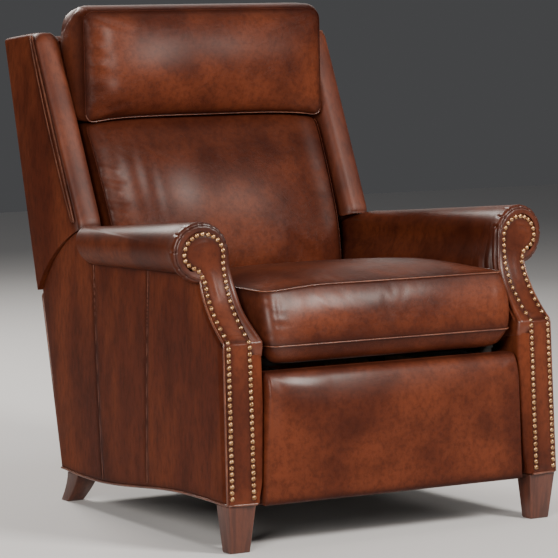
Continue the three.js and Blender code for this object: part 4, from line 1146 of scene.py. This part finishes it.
def makeNails():
    look = arm
    deselect()
    bpy.ops.mesh.primitive_uv_sphere_add(segments=14, ring_count=10, radius=0.5)
    model = named("nailHeadModel")
    bpy.ops.object.mode_set(mode="EDIT")
    bpy.ops.mesh.select_all(action="SELECT")
    bpy.ops.mesh.bisect(plane_co=(0, 0, 0), plane_no=(0, 0, 1), clear_inner=True, use_fill=True)
    bpy.ops.object.mode_set(mode="OBJECT")
    shape = points(model)
    shape[:, :2] *= 1 - 0.06 * shape[:, 2:3]
    base = shape * [look["nailWide"] * mm, look["nailWide"] * mm, look["nailTall"] * 2 * mm]
    copies = []
    for x, z in resampled(facingEdge(look["nailInset"], 115, 90), look["nailPitch"]):
        x, z = x + rng.normal(0, 0.25), z + rng.normal(0, 0.25)
        level = min(z, chair["faceTop"])
        slopeX = float(frontY(x + 2, level) - frontY(x - 2, level)) / 4
        slopeZ = float(frontY(x, min(z + 2, 600)) - frontY(x, min(z - 2, 600))) / 4
        turn = Vector((slopeX, -1, slopeZ)).normalized().to_track_quat("Z", "Y").to_matrix()
        copy = model.copy()
        copy.data = model.data.copy()
        bpy.context.collection.objects.link(copy)
        movePoints(copy, base @ np.array(turn).T + np.array(facePoint(x, z, -0.1)))
        copies.append(copy)
    bpy.data.objects.remove(model)
    right = joined(copies, "nailTrimRight")
    smooth(right, 50)
    left = dressPair(right, "nailTrim", antiqueBrass, "base")
    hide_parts("nail_trim_right")
    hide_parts("nail_trim_left")


def coons(u, v, bottom, top, left, right):  # a patch between four edges given as (setback, height) points
    def along(path, share):
        path = np.asarray(path, dtype=float)
        run = np.concatenate([[0], np.cumsum(np.linalg.norm(np.diff(path, axis=0), axis=1))])
        return np.stack([np.interp(share * run[-1], run, path[:, k]) for k in (0, 1)], axis=1)
    low, high, near, far = along(bottom, u), along(top, u), along(left, v), along(right, v)
    corners = [np.asarray(path[k], dtype=float) for path, k in ((bottom, 0), (bottom, -1), (top, 0), (top, -1))]
    u, v = u[:, None], v[:, None]
    back, down = 1 - u, 1 - v
    return (down * low + v * high + back * near + u * far
            - back * down * corners[0] - u * down * corners[1] - back * v * corners[2] - u * v * corners[3])


side = {
    "across": 120, "up": 90, "proud": 0.9, "crown": 1.6, "edge": 5, "seam": 1.0, "welt": 2.6,
    "frontX": 407, "behind": 11, "seams": [((607, 545), (566, 75)), ((351, 556), (359, 97))],
}


def sideFront(z):
    return frontY(side["frontX"], z) + side["behind"]


def sideEdges():
    foot = [(y, float(bottomZ(y)) + 0.5) for y in np.linspace(float(sideFront(100)), float(rearY(75)), 40)]
    front = [(float(sideFront(z)), z) for z in np.linspace(foot[0][1], 566, 42)]
    rearTop = (float(rearY(chair["rearCorner"])), chair["rearCorner"])
    rear = [foot[-1], rearTop]
    arc = pivotArc(chair["bodyArc"], (660, 606), rearTop)
    top = [front[-1], (350, 561), (596, 550), (632, 586)] + arc[:-1] + [rearTop]
    return foot, top, front, rear


def sideRule(u, v, look=side):  # leaning columns from the foot up to the panel's top edge
    foot, top, front, rear = sideEdges()
    along = lambda z: lerp(sideFront(z), rearY(z), u)
    topY, topZ = np.array(top).T
    low, high = np.full(len(u), 300.0), np.full(len(u), 640.0)
    for step in range(24):
        middle = (low + high) / 2
        under = middle < np.interp(along(middle), topY, topZ)
        low, high = np.where(under, middle, low), np.where(under, high, middle)
    base = np.full(len(u), 90.0)
    for step in range(12):
        base = bottomZ(along(base)) + 0.5
    z = lerp(base, high, v)
    spots = np.stack([along(z), z], axis=1)
    border = np.array(foot + rear[1:] + top[::-1] + front[::-1])
    edge = distanceTo(spots, border)[0]
    y, z = spots.T
    x = outerX(y) + look["proud"] + look["crown"] * (1 - np.exp(-edge / 40)) - roundOff(edge, look["edge"])
    y = y + (x - 376.5) * 0.1 * (1 - ease(20, 250, y))
    return x, y, z


def makeSides():
    look = side
    foot, front = sideEdges()[::2]
    panel = walled(sheet("sidePanelRight", look["across"], look["up"], sideRule), 3, -1)
    surface = lambda y, z, out=0: at(float(outerX(y)) + look["proud"] + look["crown"] * 0.9 + out, y, z)
    seams = [[surface(lerp(head[0], tail[0], t) + 4 * math.sin(t * 3.1), lerp(head[1], tail[1], t))
              for t in np.linspace(0, 1, 40)] for head, tail in look["seams"]]
    for line in seams:
        crease(panel, line, 3.2, -1.5, 0.02)
    under = [surface(lerp(130, 620, t), lerp(562, 544, t)) for t in np.linspace(0, 1, 30)]
    lowLine = [at(float(outerX(y)) + 1, y, z) for y, z in foot]
    # painted shade along the seams, the foot and the front edge, and a painted shadow under the roll
    burnish(panel, seams + [under, lowLine, [surface(y, z) for y, z in front]], 9)
    smooth(panel, 50)
    made = [(panel, "sidePanel", bodyLeather)]
    for number, line in enumerate(seams):
        name = "sideSeam%d" % number
        seam = piping(name + "Right", [spot - Vector((0.0014, 0, 0)) for spot in line], look["seam"])
        made.append((seam, name, highlitWeltLeather))
    edge = [at(float(outerX(y)) - 0.6, y, z + 0.6) for y, z in foot]
    across = [at(x, float(frontY(x, 101)) + 1.5, 101.3) for x in np.linspace(347, 411, 12)]
    welt = piping("bottomWeltRight", resampled(across + edge, 0.01), look["welt"])
    made.append((welt, "bottomWelt", highlitWeltLeather))
    lining = sheet("postLiningRight", 44, 50, liningRule, 1.6)
    made.append((smooth(lining, 60), "postLining", armLeather))
    for piece, name, material in made:
        dressPair(piece, name, material, "base")
    for panel, hand in pair("sidePanel"):
        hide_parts("arm_side_panel_" + hand)


def liningRule(u, v, look=arm):  # from beside the facing, round the post's inner corner and back under the seat
    z = lerp(102, 403, v)
    inner = look["wrapInner"] + look["wrapSlope"] * np.maximum(300 - z, 0) + 6 * ease(150, 102, z)
    front = frontY(341, z) + 3.5
    bend, turn = look["wrapRound"], np.clip((u - 0.12) / 0.5, 0, 1) * np.pi / 2
    x = np.where(u < 0.12, lerp(353, inner + bend, u / 0.12), inner + bend * (1 - np.sin(turn)))
    y = front + bend * (1 - np.cos(turn))
    back = np.clip((u - 0.62) / 0.38, 0, 1)
    return x + 12 * back, lerp(y, 152, back), z


makeArm()
makeNails()
makeSides()
print("arms ready")

# ---------- wings and back
wing = {
    "inner": 315, "outerLow": 376, "outerTop": 383, "rearward": 8, "lowFront": (690, 606), "topFront": (891, 1030),
    "fall": 14, "nose": 25, "noseShare": 0.1, "innerRound": 16, "noseFoot": 616, "cuts": (18, 52, 84), "edge": 9,
    "noseEdge": 24, "bulge": 5.5, "crown": 2.0, "welt": 2.4, "strip": 14, "seamLow": 11, "seamTop": -4,
}


def wingEdgeAt(z):
    return np.interp(z, (wing["lowFront"][1], wing["topFront"][1]), (wing["lowFront"][0], wing["topFront"][0]))


def wingOuterAt(z):
    low, high = wing["lowFront"][1], wing["topFront"][1]
    return lerp(wing["outerLow"], wing["outerTop"], (z - low) / (high - low))


def seamBehind(z):  # the front seam, measured back from the wing's front edge
    return lerp(wing["seamLow"], wing["seamTop"], (z - 612) / 418)


def wingRule(a, b, c, look=wing):
    arc = pivotArc(chair["backArc"], look["lowFront"], (rearY(chair["rearCorner"]), chair["rearCorner"]))
    topFront = look["topFront"][1]
    topRear = topFront - look["fall"]
    top = [look["topFront"], (float(rearY(topRear)), topRear)]
    front = [arc[0], top[0]]
    rear = [arc[-1], top[1]]
    phiPart = look["noseShare"]
    beta = (b + 1) / 2
    y, z = coons(np.clip((beta - phiPart) / (1 - phiPart), 0, 1), (c + 1) / 2, arc, top, front, rear).T
    near, far = look["inner"], wingOuterAt(z) + look["rearward"] * ease(0, 1, beta)
    middle, half = (near + far) / 2, (far - near) / 2
    phi = np.where(b < -0.999, 90 - a * 52, np.where(beta < phiPart, 38 * (1 - beta / phiPart), 0))
    phi = np.where((b >= -0.999) & (a < 0), 180 - phi, phi)
    turn = np.radians(phi)
    inSpan = (b < -0.999) | (beta < phiPart)
    cosine, sine = np.cos(turn), np.sin(turn)
    swell = np.clip((z - look["noseFoot"]) / 14, 0, 1) ** 0.5
    depth = look["nose"] * lerp(0.8, 1, swell)
    inward = np.clip(-cosine, 0, 1) ** 0.7  # the inner corner is a wide round that starts further back
    power = lerp(0.8, 1.05, inward)
    deeper = look["innerRound"] * inward
    bulge = look["bulge"] * np.abs(np.sin(2 * turn)) * (1 - inward)
    x = np.where(inSpan, middle + (half + bulge) * np.sign(cosine) * np.abs(cosine) ** power, middle + half * a)
    rounded = look["innerRound"] * np.clip(-a, 0, 1) ** 0.7 * np.clip(1 - (beta - phiPart) / 0.6, 0, 1)
    y = np.where(inSpan, y + deeper - (depth + deeper) * np.abs(sine) ** power, y + rounded)
    ahead = np.clip(y - chair["pivotSetback"], 0, chair["backArc"])
    z = np.where(inSpan, np.maximum(z, chair["pivotHeight"] + np.sqrt(chair["backArc"] ** 2 - ahead ** 2)), z)
    crown = look["crown"] * np.sin(np.pi * np.clip(beta, 0, 1)) * np.sin(np.pi * (c + 1) / 2) ** 0.5
    x = x + np.where((a > 0.999) & ~inSpan, crown, 0)
    topZ = topFront - look["fall"] * np.clip((y - look["topFront"][0]) / 108, -0.3, 1)
    radius = lerp(look["noseEdge"], look["edge"], ease(0.02, 0.25, np.where(b < -0.999, 0, beta)))
    inset = roundOff(np.maximum(topZ - z, 0), radius)
    x = middle + (x - middle) * (1 - inset / half)
    y = y + inset * ease(0.2, 0.0, beta) * 0.8 - inset * ease(0.8, 1, beta) * 0.6
    return x, y, z


def makeWings():
    look = wing
    piece = gridBox("wingCoverRight", look["cuts"])
    where = points(piece)
    where[:, 2] = np.sign(where[:, 2]) * (1 - (1 - np.abs(where[:, 2])) ** 1.35)
    movePoints(piece, where)
    shaped(piece, wingRule)
    faceOut(piece)
    frontLine, backLine = [], []
    for z in np.linspace(622, 1024, 60):
        y = float(wingEdgeAt(z)) + seamBehind(z)
        spindle = look["strip"] * math.sin(math.pi * min(1, max(0, (z - 616) / 412))) ** 0.45
        frontLine.append(at(float(wingOuterAt(z)) + 0.2, y, z))
        backLine.append(at(float(wingOuterAt(z)) + 1.2, y + 3 + spindle, z))
    x, y, z = points(piece).T / mm
    seam = wingEdgeAt(z) + seamBehind(z) - chair["middle"]
    marked(piece, "shine", np.maximum(0.8 * ease(2, -4, y - seam), 0.7 * ease(340, 326, x)))  # gloss on the nose and inner face, where highlights fall: painted sheen
    crease(piece, [spot + Vector((0, -0.0045, 0)) for spot in frontLine], 4.5, -4.0, 0.03)
    crease(piece, [spot + Vector((0, -0.004, 0)) for spot in backLine], 3.0, -1.6, 0.03)
    # painted shade along both seams and round the wing's foot
    foot = [at(x, look["lowFront"][0] - look["nose"] * deep, 613)
            for x, deep in ((328, 0.2), (340, 0.9), (355, 1), (368, 0.9), (377, 0.2))]
    burnish(piece, [frontLine, backLine, foot], 10)
    smooth(piece, 60)
    frontWelt = piping("wingWeltFrontRight", resampled(frontLine, 0.008), look["welt"])
    backWelt = piping("wingWeltBackRight", resampled(backLine, 0.008), look["welt"] * 0.75)
    for part, name, material in ((piece, "wingCover", bodyLeather), (frontWelt, "wingWeltFront", highlitWeltLeather),
                                 (backWelt, "wingWeltBack", highlitWeltLeather)):
        dressPair(part, name, material, "back")
    for cover, hand in pair("wingCover"):
        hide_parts("wing_" + hand, "wing_roll_" + hand)


makeWings()

outsideBack = {
    "half": 380, "low": 470, "high": 1011, "baseHalf": 371, "baseLow": 76, "baseHigh": 452, "proud": 1.6,
    "crown": 5, "edge": 7, "welt": 2.6, "railHalf": 327, "railLow": 956, "railHigh": 1021, "railNear": 902,
}


def rearRule(low, high, half, look=outsideBack):  # a stretched hide across the rear, rounded off at its edges
    def rule(u, v):
        z = lerp(low, high, v)
        x = (u * 2 - 1) * half
        edge = np.minimum(half - np.abs(x), np.minimum(z - low, high - z))
        swell = look["crown"] * np.sin(np.pi * u) ** 0.6 * np.sin(np.pi * v) ** 0.6
        return x, rearY(z) + look["proud"] + swell - roundOff(edge, look["edge"]) * 0.45, z
    return rule


def makeRear():
    look = outsideBack
    for name, low, high, half, body, slot in (
            ("backOutside", look["low"], look["high"], look["half"], "back", "back_skin"),
            ("baseRear", look["baseLow"], look["baseHigh"], look["baseHalf"], "base", "rear_panel")):
        panel = walled(sheet(name, 90, 70, rearRule(low, high, half)), 3.5, 1)
        corner = [(-half, low), (half, low), (half, high), (-half, high), (-half, low)]
        path = resampled([at(x, float(rearY(z)) + 1.5, z) for x, z in corner], 0.01)
        where = rng.normal(0, 1, 3)
        for step in range(7):  # shallow pulls where the hide is stretched to its edges
            x = lerp(-half + 40, half - 40, step / 6) + where[step % 3] * 12
            pull = [at(x, float(rearY(low + 6)) + 4, low + 6), at(x + 8, float(rearY(low + 60)) + 5, low + 60)]
            crease(panel, pull, 9, 0.9 * (-1) ** step, 0.6)
        # painted shade round the panel's edges
        burnish(panel, [path], 16)
        smooth(panel, 60)
        welt = piping(name + "Welt", path[:-1], look["welt"], True)
        for piece, material in ((panel, bodyLeather), (welt, highlitWeltLeather)):
            dress(piece, material, body)
        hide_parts(slot)
    rail = gridBox("backTopCover", (40, 10, 8))
    shaped(rail, railRule)
    faceOut(rail)
    subdivided(rail)
    smooth(rail, 60)
    # painted shade along the rail's top behind the headrest
    burnish(rail, [[at(x, 960, look["railHigh"]) for x in (-326, 326)]], 10)
    dress(rail, bodyLeather, "back")
    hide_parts("back_top_rail")


def railRule(a, b, c, look=outsideBack):  # padded top edge between the wings, behind the headrest
    z = lerp(look["railLow"], look["railHigh"], (c + 1) / 2)
    y = lerp(look["railNear"], rearY(z) - 2, (b + 1) / 2)
    across = 1 - np.clip(np.abs(b), 0, 1) ** 3
    z = z - np.where(c > 0.99, 9 * (1 - across) + 3 * np.abs(a) ** 8, 0)
    return a * look["railHalf"], y, z


makeRear()
print("wings and back ready")

# ---------- legs
legs = {
    "front": {"x": 378, "setback": 31, "top": (66, 50), "foot": (47, 32), "height": 99.4, "shift": (0, 0)},
    "rear": {"x": 347, "setback": 725, "top": (56, 48), "foot": (41, 30), "height": 66.5, "shift": (11, 32)},
    "edge": 2.5,
}


def makeLegs():
    for name, look in (("front", legs["front"]), ("rear", legs["rear"])):
        leg = gridBox(name + "LegRight", (1, 1, 9))
        a, b, c = points(leg).T
        up = (c + 1) / 2
        wide = lerp(look["foot"][0], look["top"][0], up) / 2
        deep = lerp(look["foot"][1], look["top"][1], up) / 2
        sway = (1 - up) ** 1.4
        x = look["x"] + look["shift"][0] * sway + a * wide
        y = look["setback"] + look["shift"][1] * sway + b * deep
        placeAt(leg, x, y, up * look["height"])
        bevel = leg.modifiers.new("softEdges", "BEVEL")
        bevel.width = legs["edge"] * mm
        bevel.segments = 3
        bevel.limit_method = "ANGLE"
        bevel.angle_limit = math.radians(50)
        finishModifiers(leg)
        faceOut(leg)
        smooth(leg, 35)
        dressPair(leg, name + "Leg", legWood, "base")
        for made, hand in pair(name + "Leg"):
            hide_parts(name + "_leg_" + hand)


makeLegs()
print("legs ready")


# ---------- floor, light and camera
def makeStage():
    deselect()
    bpy.ops.mesh.primitive_plane_add(size=14)
    floor = named("paleFloor")
    material, tree, shader, source = startMaterial("paleFloorPaint")
    shader.inputs["Base Color"].default_value = (0.74, 0.74, 0.74, 1)
    shader.inputs["Roughness"].default_value = 0.85
    floor.data.materials.append(material)
    world = bpy.data.worlds.new("softStudio")
    bpy.context.scene.world = world
    world.use_nodes = True
    world.node_tree.nodes["Background"].inputs["Color"].default_value = (0.86, 0.87, 0.9, 1)
    world.node_tree.nodes["Background"].inputs["Strength"].default_value = 0.075
    lamps = [  # name, place, size, watts, aim
        ("leftSoftbox", (-3.0, -2.9, 1.8), (1.5, 1.4), 142, (0.0, 0.0, 0.6)),
        ("keySoftbox", (1.15, -2.95, 2.45), (0.9, 0.8), 125, (0.0, 0.0, 0.6)),
        ("rightSoftbox", (3.2, -2.0, 2.0), (1.0, 0.9), 16, (0.0, 0.0, 0.6)),
        ("topSoftbox", (1.2, -0.4, 3.2), (1.0, 0.8), 10, (0.0, 0.0, 0.6)),
        ("backSoftbox", (-0.2, 3.2, 3.0), (1.5, 1.0), 150, (0.0, 0.0, 0.8)),
        ("lowBackSoftbox", (2.6, 3.4, 1.9), (2.6, 1.6), 12, (0.0, 0.0, 0.7)),
    ]
    for name, place, size, watts, aim in lamps:
        data = bpy.data.lights.new(name, "AREA")
        data.shape = "RECTANGLE"
        data.size, data.size_y = size
        data.energy = watts
        data.color = (1.0, 0.94, 0.88)
        lamp = bpy.data.objects.new(name, data)
        bpy.context.collection.objects.link(lamp)
        lamp.location = place
        lamp.rotation_euler = (Vector(aim) - Vector(place)).to_track_quat("-Z", "Y").to_euler()


def makeCamera():
    view = {"x": -3854.1, "setback": -5612.7, "height": 1258.6, "turn": 32.38, "down": 6.03, "pixels": 3308.6}
    data = bpy.data.cameras.new("photoCamera")
    data.sensor_width = 36
    data.lens = view["pixels"] * 36 / 558
    data.clip_end = 60
    camera = bpy.data.objects.new("photoCamera", data)
    bpy.context.collection.objects.link(camera)
    camera.location = at(view["x"], view["setback"], view["height"])
    camera.rotation_euler = (math.radians(90 - view["down"]), 0, -math.radians(view["turn"]))
    bpy.context.scene.camera = camera


makeStage()
makeCamera()
print("floor, light and camera ready")
